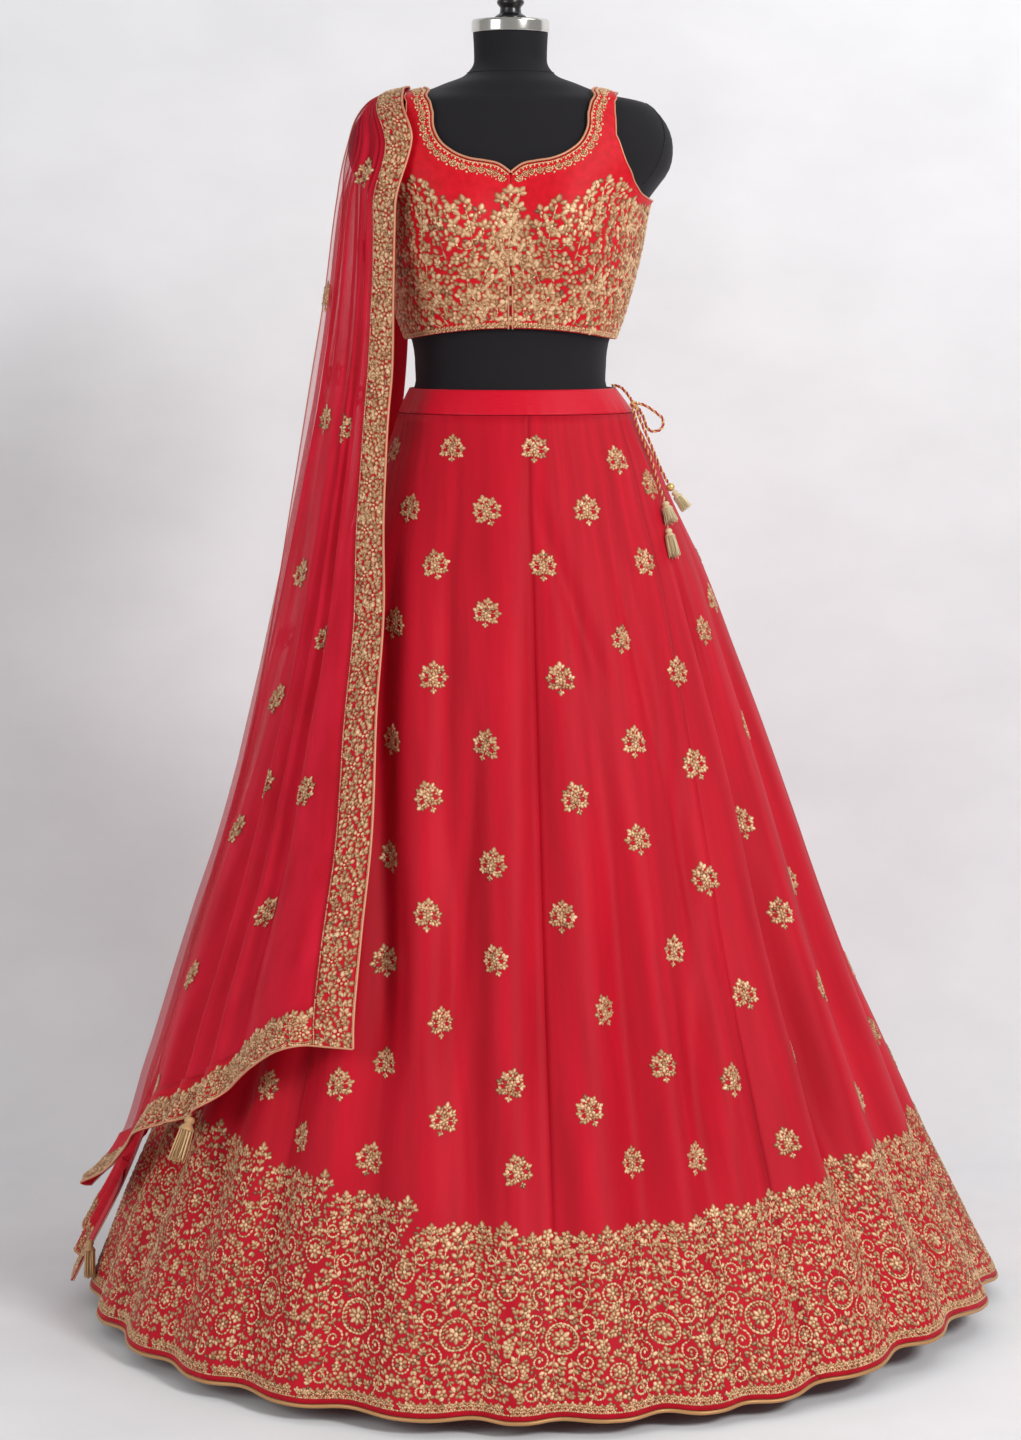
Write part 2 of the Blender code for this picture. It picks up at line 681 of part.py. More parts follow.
HEM_PIPING_RADIUS = 0.0022


def build_hem_piping(panel, turn):
    hem = np.ones_like(turn)
    line = skirt_point(turn, hem)
    line[:, 2] -= HEM_PIPING_RADIUS + SEAM_GAP + 0.0002
    away = side_way(turn, hem)
    line[0] += away[0] * 0.8 * SEAM_GAP
    line[-1] -= away[-1] * 0.8 * SEAM_GAP
    tube("hem_piping_%d" % (panel + 1), line, HEM_PIPING_RADIUS, sides=3, ways=away)


# The waistband, open at the wearer's left where the drawstring leaves it.

BAND_LOW, BAND_HIGH, BAND_WALL = 1.0062, 1.0330, 0.0022
BAND_OPEN_FIRST, BAND_OPEN_LAST = 84.2, 85.8
BAND_COLUMNS, BAND_ROWS = 41, 2


def band_point(angle, height, out=0.0):
    u = (height - BAND_LOW) / (BAND_HIGH - BAND_LOW)
    left = mix(0.1372, 0.1175, u) + out
    right = mix(0.1252, 0.1130, u) + out
    front = mix(0.1127, 0.0990, u) + out
    back = mix(0.1087, 0.0980, u) + out
    sine, cosine = np.sin(angle), np.cos(angle)
    x = np.where(sine > 0, left, right) * sine
    y = -np.where(cosine > 0, front, back) * cosine
    return np.stack(np.broadcast_arrays(x, y, height), -1)


def build_waistband():
    angle = np.radians(np.linspace(BAND_OPEN_LAST, BAND_OPEN_FIRST + 360.0, BAND_COLUMNS))
    height = np.linspace(BAND_LOW, BAND_HIGH, BAND_ROWS)
    aa, hh = np.meshgrid(angle, height)
    outer = band_point(aa, hh).reshape(-1, 3)
    inner = band_point(aa, hh, -BAND_WALL).reshape(-1, 3)
    shell("waistband", outer, inner, grid_faces(BAND_COLUMNS, BAND_ROWS))


# The dupatta: a long net over the wearer's right shoulder. Sections run from the front end, up over the
# shoulder and down the back. Each has an inner and an outer edge, as angle from the front, distance from the
# axis and height; a lap says how far its pleats stand out.

NET_WALL = 0.0012
NET = (("along", "in_angle", "in_radius", "in_height", "out_angle", "out_radius", "out_height", "lap"), (
    (0.00, -22.5, 0.4130, 0.3640, -89.0, 0.4870, 0.1330, 0.016),
    (0.04, -23.0, 0.4040, 0.3900, -91.0, 0.4450, 0.1650, 0.016),
    (0.12, -24.0, 0.3710, 0.4700, -92.0, 0.4060, 0.2600, 0.016),
    (0.22, -25.6, 0.3260, 0.5700, -92.0, 0.3620, 0.4000, 0.015),
    (0.34, -28.7, 0.2850, 0.6900, -92.0, 0.3150, 0.5430, 0.014),
    (0.46, -33.6, 0.2350, 0.8100, -92.0, 0.2750, 0.7340, 0.012),
    (0.58, -44.0, 0.1880, 0.9300, -91.0, 0.2430, 0.9200, 0.010),
    (0.68, -50.7, 0.1620, 1.0300, -91.0, 0.2230, 1.0400, 0.008),
    (0.78, -50.0, 0.1590, 1.1300, -90.0, 0.2060, 1.1400, 0.008),
    (0.87, -48.5, 0.1600, 1.2300, -86.0, 0.1930, 1.2350, 0.007),
    (0.935, -48.0, 0.1390, 1.3020, -82.0, 0.1820, 1.2950, 0.004),
    (0.965, -57.0, 0.1355, 1.3390, -84.0, 0.1700, 1.3300, 0.003),
    (0.985, -71.0, 0.1205, 1.3575, -87.0, 0.1560, 1.3470, 0.003),
    (1.00, -90.0, 0.1085, 1.3618, -90.0, 0.1440, 1.3540, 0.002),
    (1.015, -109.0, 0.1205, 1.3575, -94.0, 0.1570, 1.3470, 0.003),
    (1.035, -122.0, 0.1370, 1.3390, -97.0, 0.1720, 1.3300, 0.004),
    (1.07, -132.0, 0.1510, 1.2970, -99.0, 0.1850, 1.2870, 0.005),
    (1.15, -134.0, 0.1590, 1.2000, -98.0, 0.1900, 1.2000, 0.007),
    (1.26, -134.0, 0.1600, 1.0700, -97.0, 0.2070, 1.0700, 0.008),
    (1.36, -134.0, 0.1780, 0.9500, -96.0, 0.2270, 0.9500, 0.010),
    (1.48, -133.0, 0.2180, 0.8200, -96.0, 0.2500, 0.8000, 0.012),
    (1.60, -131.0, 0.2700, 0.6700, -96.0, 0.2960, 0.6200, 0.014),
    (1.72, -129.0, 0.3230, 0.5200, -95.0, 0.3430, 0.4500, 0.015),
    (1.84, -127.0, 0.3750, 0.3800, -93.0, 0.3930, 0.2700, 0.015),
    (1.94, -125.0, 0.4180, 0.2600, -88.0, 0.4480, 0.1150, 0.014),
    (2.00, -124.0, 0.4450, 0.1900, -81.0, 0.4990, 0.0300, 0.012),
))
NET_PLEATS = 6
NET_STEPS = 4
NET_ROWS_FRONT = (
    0.0, 0.03, 0.06, 0.12, 0.17, 0.22, 0.28, 0.34, 0.40, 0.46, 0.52, 0.58, 0.68, 0.78, 0.87, 0.935, 0.965, 0.985, 0.9994,
)
NET_ROWS_BACK = (
    1.0006, 1.015, 1.035, 1.07, 1.15, 1.26, 1.36, 1.48, 1.60, 1.72, 1.84, 1.93, 1.965, 2.0,
)
# The long border's share of the net's width.
BORDER_SHARE = (("along", "share"), (
    (0.00, 0.092),
    (0.22, 0.115),
    (0.34, 0.128),
    (0.46, 0.155),
    (0.58, 0.210),
    (0.68, 0.255),
    (0.87, 0.290),
    (0.95, 0.420),
    (1.00, 0.720),
    (1.05, 0.420),
    (1.15, 0.300),
    (1.36, 0.260),
    (1.60, 0.200),
    (2.00, 0.170),
))
BORDER_REST = 0.5


def pleat(place):
    """Stand-out of the net at a place across it: 0 to 1 is the border, then one unit for each pleat."""
    wave = 0.5 - 0.5 * np.cos(TAU * (place - 1.0))
    calm = 1.0 - 0.7 * ramp(place, NET_PLEATS - 0.3, NET_PLEATS + 0.6)
    flat = BORDER_REST * (1.0 - ramp(place, 1.0, 1.5))
    return flat + np.where(place > 1.0, np.clip(wave, 0.0, 1.0) ** 0.8, 0.0) * calm


def end_drop(across):
    """The end's lower edge falls in two steps from the inner to the outer corner."""
    return 0.45 * ramp(across, 0.10, 0.48) + 0.55 * ramp(across, 0.42, 0.95)


def net_point(place, along, out=0.0):
    place, along = np.broadcast_arrays(np.asarray(place, float), np.asarray(along, float))
    values = {name: smooth(NET, "along", name, along) for name in NET[0][1:]}
    share = smooth(BORDER_SHARE, "along", "share", along)
    across = np.where(place < 1.0, share * place, share + (1.0 - share) * (place - 1.0) / NET_PLEATS)
    bend = np.clip(across, 0.0, None) ** 1.15
    angle = np.radians(mix(values["in_angle"], values["out_angle"], across))
    radius = mix(values["in_radius"], values["out_radius"], bend)
    low = np.clip(1.0 - np.minimum(along, 2.0 - along) / 0.25, 0.0, 1.0)
    drop = mix(across, end_drop(across), low)
    height = mix(values["in_height"], values["out_height"], drop)
    radius = radius + values["lap"] * pleat(place) + out
    return np.stack([radius * np.sin(angle), -radius * np.cos(angle), height], -1)


def net_normal(place, along):
    step = 2e-3
    by_place = net_point(place + step, along) - net_point(place - step, along)
    by_along = net_point(place, along + step) - net_point(place, along - step)
    normal = np.cross(by_along, by_place)
    return normal / np.linalg.norm(normal, axis=-1, keepdims=True)


def net_shell(name, place, along, out, wall):
    pp, ll = np.meshgrid(place, along)
    base = net_point(pp, ll)
    normal = net_normal(pp, ll)
    inner = (base + normal * out).reshape(-1, 3)
    outer = (base + normal * (out + wall)).reshape(-1, 3)
    shell(name, outer, inner, grid_faces(len(place), len(along)))


BORDER_OUT = NET_WALL + SEAM_GAP + 0.0004
BORDER_WALL = 0.0016


def build_dupatta():
    pleats = np.linspace(1.0, 1.0 + NET_PLEATS, NET_PLEATS * NET_STEPS + 1)
    strip = np.array([0.0, 0.5, 1.0])
    place = np.concatenate([strip[:-1], pleats])
    net_shell("dupatta_front", place, NET_ROWS_FRONT, 0.0, NET_WALL)
    net_shell("dupatta_back", place, NET_ROWS_BACK, 0.0, NET_WALL)
    net_shell("dupatta_border_front", strip, NET_ROWS_FRONT, BORDER_OUT, BORDER_WALL)
    net_shell("dupatta_border_back", strip, NET_ROWS_BACK, BORDER_OUT, BORDER_WALL)
    net_shell("dupatta_end_front", pleats[1:], NET_ROWS_FRONT[:3], BORDER_OUT, BORDER_WALL)
    net_shell("dupatta_end_back", pleats[1:], NET_ROWS_BACK[-3:], BORDER_OUT, BORDER_WALL)


# Tassels: a small bell head whose underside is parted into strands.

def tassel(name, top, way, head, length, radius, spread, stem=0.0, sides=6):
    """The head is one closed bell; each strand grows from its own patch of the bell's underside."""
    way = np.asarray(way, float) / np.linalg.norm(way)
    first = np.cross(way, (0.0, 1.0, 0.0))
    first /= np.linalg.norm(first)
    second = np.cross(way, first)
    turn = np.arange(sides) * TAU / sides
    points = []

    def put(r, a, depth):
        points.append(top + way * depth + (first * np.cos(a) + second * np.sin(a)) * r)
        return len(points) - 1

    bell = ((0.30, 0.0), (0.62, 0.18), (0.62, 0.40), (0.42, 0.52), (0.80, 0.75), (1.0, 1.0))
    if stem > 0:
        bell = ((0.14, -stem / head), (0.14, -0.02)) + bell
    rings = [[put(r * radius, a, d * head) for a in turn] for r, d in bell]
    faces = [tuple(reversed(rings[0]))]
    for low, high in zip(rings[:-1], rings[1:]):
        faces += [(low[i], low[(i + 1) % sides], high[(i + 1) % sides], high[i]) for i in range(sides)]
    rim = rings[-1]
    mid = [put(0.52 * radius, a, head) for a in turn]
    centre = put(0.0, 0.0, head)
    cells = [(rim[i], rim[(i + 1) % sides], mid[(i + 1) % sides], mid[i]) for i in range(sides)]
    cells += [(mid[i], mid[i + 1], mid[(i + 2) % sides], centre) for i in range(0, sides, 2)]
    for number, cell in enumerate(cells):
        corners = np.array([points[v] for v in cell])
        heart = corners.mean(0)
        near = []
        far = []
        out = heart - (top + way * head)
        for corner in corners:
            points.append(heart + (corner - heart) * 0.80)
            near.append(len(points) - 1)
        reach = length * (0.94 + 0.06 * np.cos(2.4 * number))
        for corner in corners:
            points.append(heart + out * spread + (corner - heart) * 0.62 + way * reach)
            far.append(len(points) - 1)
        for k in range(4):
            m = (k + 1) % 4
            faces.append((cell[k], cell[m], near[m], near[k]))
            faces.append((near[k], near[m], far[m], far[k]))
        faces.append(tuple(far))
    return add_solid(name, points, faces)


# The drawstring: twisted cord from the waistband's opening, a slip loop, two tails, a bead and three tassels.

CORD_RADIUS = 0.0018
CORD_SPACING = 0.0080
BEAD_RADIUS = 0.0048
KNOT = (0.1368, -0.0312, 1.0150)
KNOT_RADIUS = 0.0048
# Each row is a place along the cord: wearer's left, depth from the axis, height.
LEAD = (("left", "depth", "height"), (
    (0.1130, -0.0090, 1.0357),
    (0.1195, -0.0110, 1.0353),
    (0.1258, -0.0150, 1.0310),
    (0.1310, -0.0205, 1.0250),
    (0.1352, -0.0272, 1.0182),
))
LOOP = (("left", "depth", "height"), (
    (0.1420, -0.0325, 1.0165),
    (0.1500, -0.0340, 1.0138),
    (0.1625, -0.0350, 1.0053),
    (0.1697, -0.0360, 0.9968),
    (0.1668, -0.0380, 0.9883),
    (0.1584, -0.0400, 0.9856),
    (0.1516, -0.0390, 0.9895),
    (0.1482, -0.0350, 0.9990),
    (0.1420, -0.0300, 1.0118),
))
TAIL_SHORT = (("left", "depth", "height"), (
    (0.1356, -0.0340, 1.0110),
    (0.1412, -0.0440, 0.9900),
    (0.1495, -0.0480, 0.9691),
    (0.1555, -0.0530, 0.9551),
    (0.1632, -0.0620, 0.9301),
    (0.1696, -0.0745, 0.9110),
))
TAIL_LONG = (("left", "depth", "height"), (
    (0.1392, -0.0352, 1.0110),
    (0.1462, -0.0450, 0.9920),
    (0.1550, -0.0475, 0.9720),
    (0.1640, -0.0500, 0.9500),
    (0.1737, -0.0546, 0.9300),
))
BEAD = (0.1768, -0.0560, 0.9250)
TASSELS = (("left", "depth", "height", "way_x", "way_y", "head", "length", "radius", "spread", "stem"), (
    (0.1798, -0.0580, 0.9195, 0.75, -0.20, 0.0085, 0.0160, 0.0058, 0.40, 0.0),
    (0.1700, -0.0760, 0.9100, 0.32, -0.50, 0.0090, 0.0165, 0.0064, 0.45, 0.0),
    (0.1728, -0.0945, 0.8815, 0.24, -0.55, 0.0100, 0.0240, 0.0060, 0.30, 0.0040),
))


def meet(centre, radius, toward):
    """The point just clear of a ball, on the side that faces another point."""
    way = np.subtract(toward, centre)
    return np.asarray(centre) + way / np.linalg.norm(way) * (radius + 2.6 * SEAM_GAP)


def cord_path(table):
    """Points of a smooth line through a table's places, evenly apart along it."""
    rows = np.array(table[1], float)
    n = len(rows)
    at = np.linspace(0, n - 1, (n - 1) * 12 + 1)
    keyed = (("at",) + table[0], tuple((k,) + tuple(row) for k, row in enumerate(rows)))
    line = np.stack([smooth(keyed, "at", name, at) for name in table[0]], -1)
    run = np.concatenate([[0.0], np.cumsum(np.linalg.norm(np.diff(line, axis=0), axis=1))])
    count = max(3, int(round(run[-1] / CORD_SPACING)) + 1)
    even = np.linspace(0.0, run[-1], count)
    return np.stack([np.interp(even, run, line[:, k]) for k in range(3)], -1)


def ball(name, centre, radius, sides=8):
    profile = [(0.0, centre[2] - radius)]
    for a in (-50.0, 0.0, 50.0):
        profile.append((radius * np.cos(np.radians(a)), centre[2] + radius * np.sin(np.radians(a))))
    profile.append((0.0, centre[2] + radius))
    lathe(name, profile, sides, centre=(centre[0], centre[1]))


def build_drawstring():
    ball("drawstring_knot", KNOT, KNOT_RADIUS)
    ball("drawstring_bead", BEAD, BEAD_RADIUS)
    lead, loop = cord_path(LEAD), cord_path(LOOP)
    tail_short, tail_long = cord_path(TAIL_SHORT), cord_path(TAIL_LONG)
    lead[-1] = meet(KNOT, KNOT_RADIUS, lead[-1])
    for line in (loop, tail_short, tail_long):
        line[0] = meet(KNOT, KNOT_RADIUS, line[0])
    loop[-1] = meet(KNOT, KNOT_RADIUS, loop[-1])
    tail_long[-1] = meet(BEAD, BEAD_RADIUS, tail_long[-1])
    tops = []
    for number, row in enumerate(TASSELS[1]):
        x, y, z, way_x, way_y, head, length, radius, spread, stem = row
        way = np.array([way_x, way_y, -1.0])
        way /= np.linalg.norm(way)
        top = np.array([x, y, z])
        if number == 0:
            top = meet(BEAD, BEAD_RADIUS, np.array(BEAD) + way)
        tops.append(top - way * 2.4 * SEAM_GAP)
        name = "drawstring_tassel_%d" % (number + 1)
        tassel(name, top, way, head, length, radius, spread, stem=stem)
    tail_short[-1] = tops[1]
    lines = {"lead": lead, "loop": loop, "tail_short": tail_short, "tail_long": tail_long}
    for name, line in lines.items():
        cord("drawstring_" + name, line, CORD_RADIUS)


def build_dupatta_tassels():
    middle = BORDER_OUT + 0.5 * BORDER_WALL
    low, side = np.array(3.02), np.array(1.0 + NET_PLEATS)
    edge = net_point(low, np.array(0.0)) + net_normal(low, np.array(0.0)) * middle
    away = edge * np.array([1.0, 1.0, 0.0])
    away /= np.linalg.norm(away)
    top = edge + away * 0.0012 - np.array([0.0, 0.0, 0.0028])
    way = away * 0.45 - np.array([0.0, 0.0, 1.0])
    tassel("dupatta_tassel_front", top, way, 0.015, 0.0330, 0.0085, 0.25)
    # At the back end the head hangs against the outer edge, a little above the corner.
    at = np.array(1.975)
    edge = net_point(side, at) + net_normal(side, at) * middle
    across = net_point(side, at) - net_point(side - 0.05, at)
    across[2] = 0.0
    across /= np.linalg.norm(across)
    top = edge + across * 0.0084 + np.array([0.0, 0.0, 0.0060])
    way = across * 0.36 - np.array([0.0, 0.0, 1.0])
    tassel("dupatta_tassel_back", top, way, 0.013, 0.0290, 0.0068, 0.12)


build_form()
lathe("neck_cap", CAP_PROFILE, 24)
lathe("finial", FINIAL_PROFILE, 14)
lathe("stand_pole", POLE_PROFILE, 12)
lathe("stand_base", BASE_PROFILE, 36)
build_choli()
build_neck_piping()
build_skirt()
build_waistband()
build_dupatta()
build_drawstring()
build_dupatta_tassels()
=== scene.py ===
"""Looks for the lehenga choli and its net dupatta on a dress form.

Metres, +Z up, the front faces -Y and the wearer's left is +X. Every piece follows the shape of its solid.
"""

import bpy
import numpy as np
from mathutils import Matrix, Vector


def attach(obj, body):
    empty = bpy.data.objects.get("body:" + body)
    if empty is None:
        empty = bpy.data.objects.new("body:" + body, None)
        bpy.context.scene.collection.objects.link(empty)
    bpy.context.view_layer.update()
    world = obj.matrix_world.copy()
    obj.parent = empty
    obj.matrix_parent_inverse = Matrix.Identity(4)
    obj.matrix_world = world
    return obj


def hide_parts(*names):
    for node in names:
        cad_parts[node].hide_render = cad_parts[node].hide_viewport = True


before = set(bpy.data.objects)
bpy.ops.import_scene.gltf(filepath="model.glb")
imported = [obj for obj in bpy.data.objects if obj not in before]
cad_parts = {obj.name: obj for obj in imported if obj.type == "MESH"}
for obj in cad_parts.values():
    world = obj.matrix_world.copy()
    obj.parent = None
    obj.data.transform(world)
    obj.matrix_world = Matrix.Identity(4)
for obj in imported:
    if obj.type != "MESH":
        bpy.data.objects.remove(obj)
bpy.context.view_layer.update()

TAU = 2.0 * np.pi
SEAM_GAP = 0.0003
RNG = np.random.default_rng(11)


def column(table, name):
    names, rows = table
    return np.array([row[names.index(name)] for row in rows], float)


def smooth(table, key, name, at):
    """A column of a table as a smooth curve over the key column, read at one or many keys."""
    x = column(table, key)
    y = column(table, name)
    if x[0] > x[-1]:
        x, y = x[::-1], y[::-1]
    step = np.diff(x)
    slope = np.diff(y) / step
    tangent = np.empty_like(y)
    tangent[0], tangent[-1] = slope[0], slope[-1]
    tangent[1:-1] = (slope[:-1] * step[1:] + slope[1:] * step[:-1]) / (step[:-1] + step[1:])
    flat = slope[:-1] * slope[1:] <= 0
    tangent[1:-1][flat] = 0.0
    at = np.clip(np.asarray(at, float), x[0], x[-1])
    i = np.clip(np.searchsorted(x, at, side="right") - 1, 0, len(x) - 2)
    h = x[i + 1] - x[i]
    u = (at - x[i]) / h
    a = (1 + 2 * u) * (1 - u) ** 2
    b = u * (1 - u) ** 2
    c = u * u * (3 - 2 * u)
    d = u * u * (u - 1)
    return a * y[i] + b * h * tangent[i] + c * y[i + 1] + d * h * tangent[i + 1]


def ramp(value, low, high):
    u = np.clip((np.asarray(value, float) - low) / (high - low), 0.0, 1.0)
    return u * u * (3.0 - 2.0 * u)


def mix(a, b, u):
    return a + (b - a) * u


def together(*parts):
    return np.concatenate(parts)


def unit(ways):
    """Ways brought to a length of one, along the last axis."""
    return ways / np.linalg.norm(ways, axis=-1, keepdims=True)


def surface_normal(point, first, second, step):
    """Unit normals of a surface, from its points a step to each side."""
    by_first = point(first + step, second) - point(first - step, second)
    by_second = point(first, second + step) - point(first, second - step)
    return unit(np.cross(by_first, by_second))


def run_along(path):
    """Distance from a path's first point to each of its points."""
    return together([0.0], np.cumsum(np.linalg.norm(np.diff(path, axis=0), axis=1)))


def even_path(path, spacing):
    """A path's points moved to even steps along it."""
    path = np.asarray(path, float)
    run = run_along(path)
    count = max(3, int(round(run[-1] / spacing)) + 1)
    even = np.linspace(0.0, run[-1], count)
    return np.stack([np.interp(even, run, path[:, k]) for k in range(3)], -1)


# The form: a padded torso with shoulder caps and no arms, a chrome neck cap, a turned finial, a pole
# and a base.

FORM = (("height", "half_width", "front", "back"), (
    (1.4225, 0.0414, 0.0450, 0.0400),
    (1.4080, 0.0406, 0.0450, 0.0405),
    (1.3930, 0.0403, 0.0465, 0.0420),
    (1.3820, 0.0450, 0.0520, 0.0465),
    (1.3740, 0.0547, 0.0600, 0.0540),
    (1.3680, 0.0713, 0.0670, 0.0620),
    (1.3625, 0.0850, 0.0715, 0.0690),
    (1.3580, 0.0975, 0.0745, 0.0735),
    (1.3540, 0.1135, 0.0775, 0.0775),
    (1.3510, 0.1300, 0.0800, 0.0810),
    (1.3485, 0.1420, 0.0820, 0.0835),
    (1.3420, 0.1560, 0.0860, 0.0880),
    (1.3330, 0.1654, 0.0900, 0.0920),
    (1.3115, 0.1777, 0.0980, 0.1000),
    (1.2950, 0.1800, 0.1030, 0.1040),
    (1.2710, 0.1750, 0.1080, 0.1070),
    (1.2530, 0.1620, 0.1100, 0.1080),
    (1.2380, 0.1510, 0.1110, 0.1080),
    (1.2200, 0.1462, 0.1110, 0.1070),
    (1.1960, 0.1422, 0.1100, 0.1050),
    (1.1520, 0.1322, 0.1040, 0.0990),
    (1.1080, 0.1186, 0.0960, 0.0920),
    (1.0835, 0.1095, 0.0920, 0.0890),
    (1.0580, 0.1066, 0.0900, 0.0880),
    (1.0320, 0.1078, 0.0925, 0.0920),
    (1.0180, 0.1166, 0.1034, 0.1008),
    (0.9800, 0.1215, 0.1060, 0.1040),
    (0.9200, 0.1330, 0.1060, 0.1130),
    (0.8600, 0.1420, 0.1080, 0.1190),
    (0.8150, 0.1380, 0.1030, 0.1140),
    (0.8000, 0.1300, 0.0950, 0.1060),
))
CUP_SIDE, CUP_HEIGHT, CUP_RISE = 0.073, 1.2050, 0.0300
CUP_WIDTH, CUP_TALL = 0.0520, 0.0560


def form_ring(angle, height):
    """Points of the torso at angles from the front, turning to the wearer's left."""
    angle = np.asarray(angle, float)
    height = np.asarray(height, float)
    across = smooth(FORM, "height", "half_width", height)
    front = smooth(FORM, "height", "front", height)
    back = smooth(FORM, "height", "back", height)
    sine, cosine = np.sin(angle), np.cos(angle)
    x = across * sine
    y = np.where(cosine > 0, -front * cosine, -back * cosine)
    lift = np.exp(-((height - CUP_HEIGHT) / CUP_TALL) ** 2)
    lift = lift * (np.exp(-((x - CUP_SIDE) / CUP_WIDTH) ** 2) + np.exp(-((x + CUP_SIDE) / CUP_WIDTH) ** 2))
    y = y - CUP_RISE * lift * np.clip(cosine, 0.0, 1.0)
    return np.stack(np.broadcast_arrays(x, y, height), -1)


def form_normal(angle, height):
    return surface_normal(form_ring, angle, height, 1e-4)


def off_form(angle, height, out):
    angle, height = np.broadcast_arrays(np.asarray(angle, float), np.asarray(height, float))
    return form_ring(angle, height) + form_normal(angle, height) * np.asarray(out, float)[..., None]


CAP_PROFILE = (
    (0.0, 1.4228), (0.0425, 1.4228), (0.0430, 1.4245), (0.0430, 1.4350), (0.0415, 1.4372),
    (0.0, 1.4372)
)
FINIAL_PROFILE = (
    (0.0, 1.4375), (0.0175, 1.4375), (0.0175, 1.4405), (0.0120, 1.4440), (0.0112, 1.4500), (0.0150, 1.4545),
    (0.0150, 1.4575), (0.0125, 1.4600), (0.0150, 1.4660), (0.0185, 1.4740), (0.0170, 1.4830),
    (0.0100, 1.4895),
    (0.0, 1.4910),
)
POLE_RADIUS = 0.0125
BASE_RADIUS = 0.1900
POLE_PROFILE = (
    (0.0, 0.0263), (0.0240, 0.0263), (0.0240, 0.0400), (POLE_RADIUS, 0.0430), (POLE_RADIUS, 0.7700),
    (0.0300, 0.7740), (0.0300, 0.7917), (0.0, 0.7917),
)
BASE_PROFILE = (
    (0.0, 0.0), (BASE_RADIUS - 0.003, 0.0), (BASE_RADIUS, 0.003), (BASE_RADIUS, 0.0090),
    (BASE_RADIUS - 0.004, 0.0120),
    (0.0700, 0.0190), (0.0380, 0.0260), (0.0, 0.0260),
)


# The choli: two front pieces that meet at a hooked centre opening, and a back. Each is a sheet held
# off the form.

CHOLI_WALL = 0.0016
CHOLI_EASE = (("height", "out"), (
    (1.3700, 0.0030),
    (1.3300, 0.0034),
    (1.2600, 0.0043),
    (1.1960, 0.0040),
    (1.1520, 0.0042),
    (1.1080, 0.0048),
    (1.0800, 0.0052),
))
HEM_SIDE, HEM_CENTRE = 1.0885, 1.1010
# Top edge of the front half: centre notch, neckline to the strap, armhole to the side seam.
FRONT_TOP = (("angle", "height"), (
    (0.0, 1.2640),
    (4.5, 1.2735),
    (9.0, 1.2765),
    (15.0, 1.2795),
    (21.0, 1.2880),
    (25.5, 1.3000),
    (28.5, 1.3150),
    (31.0, 1.3320),
    (35.0, 1.3200),
    (39.0, 1.3080),
    (42.0, 1.2870),
    (48.0, 1.2680),
    (58.0, 1.2520),
    (72.0, 1.2440),
    (90.0, 1.2420),
))
STRAP_FIRST, STRAP_LAST = 31.0, 39.0
# The strap from its foot to the shoulder seam: its neck edge and its arm edge.
FRONT_STRAP = (("along", "neck_angle", "neck_height", "arm_angle", "arm_height"), (
    (0.00, 31.0, 1.3320, 39.0, 1.3080),
    (0.22, 34.0, 1.3410, 40.5, 1.3220),
    (0.42, 40.0, 1.3480, 43.0, 1.3350),
    (0.62, 50.0, 1.3532, 47.5, 1.3440),
    (0.80, 66.0, 1.3567, 59.0, 1.3505),
    (1.00, 90.0, 1.3588, 90.0, 1.3538),
))
BACK_TOP = (("angle", "height"), (
    (90.0, 1.2420),
    (106.0, 1.2450),
    (120.0, 1.2530),
    (131.0, 1.2690),
    (138.0, 1.2880),
    (141.0, 1.3080),
    (145.0, 1.3150),
    (149.0, 1.3200),
    (152.0, 1.3020),
    (157.0, 1.2850),
    (164.0, 1.2730),
    (172.0, 1.2680),
    (180.0, 1.2670),
))
BACK_STRAP = (("along", "neck_angle", "neck_height", "arm_angle", "arm_height"), (
    (0.00, 149.0, 1.3200, 141.0, 1.3080),
    (0.22, 146.0, 1.3340, 139.5, 1.3220),
    (0.42, 140.0, 1.3445, 137.0, 1.3350),
    (0.62, 130.0, 1.3520, 132.5, 1.3440),
    (0.80, 114.0, 1.3565, 121.0, 1.3505),
    (1.00, 90.0, 1.3588, 90.0, 1.3538),
))


def choli_out(height):
    return smooth(CHOLI_EASE, "height", "out", height)


def hem_height(angle):
    return mix(HEM_SIDE, HEM_CENTRE, np.clip(np.cos(angle), 0.0, 1.0) ** 2)


def front_slit(height):
    """Half width of the centre opening, which gapes a little low down."""
    return 0.00015 + 0.0009 * ramp(1.25 - height, 0.0, 0.10)


PIPING_RADIUS = 0.0013


# The lehenga skirt: a cone that spreads from the waistband, with soft folds that deepen to the hem.

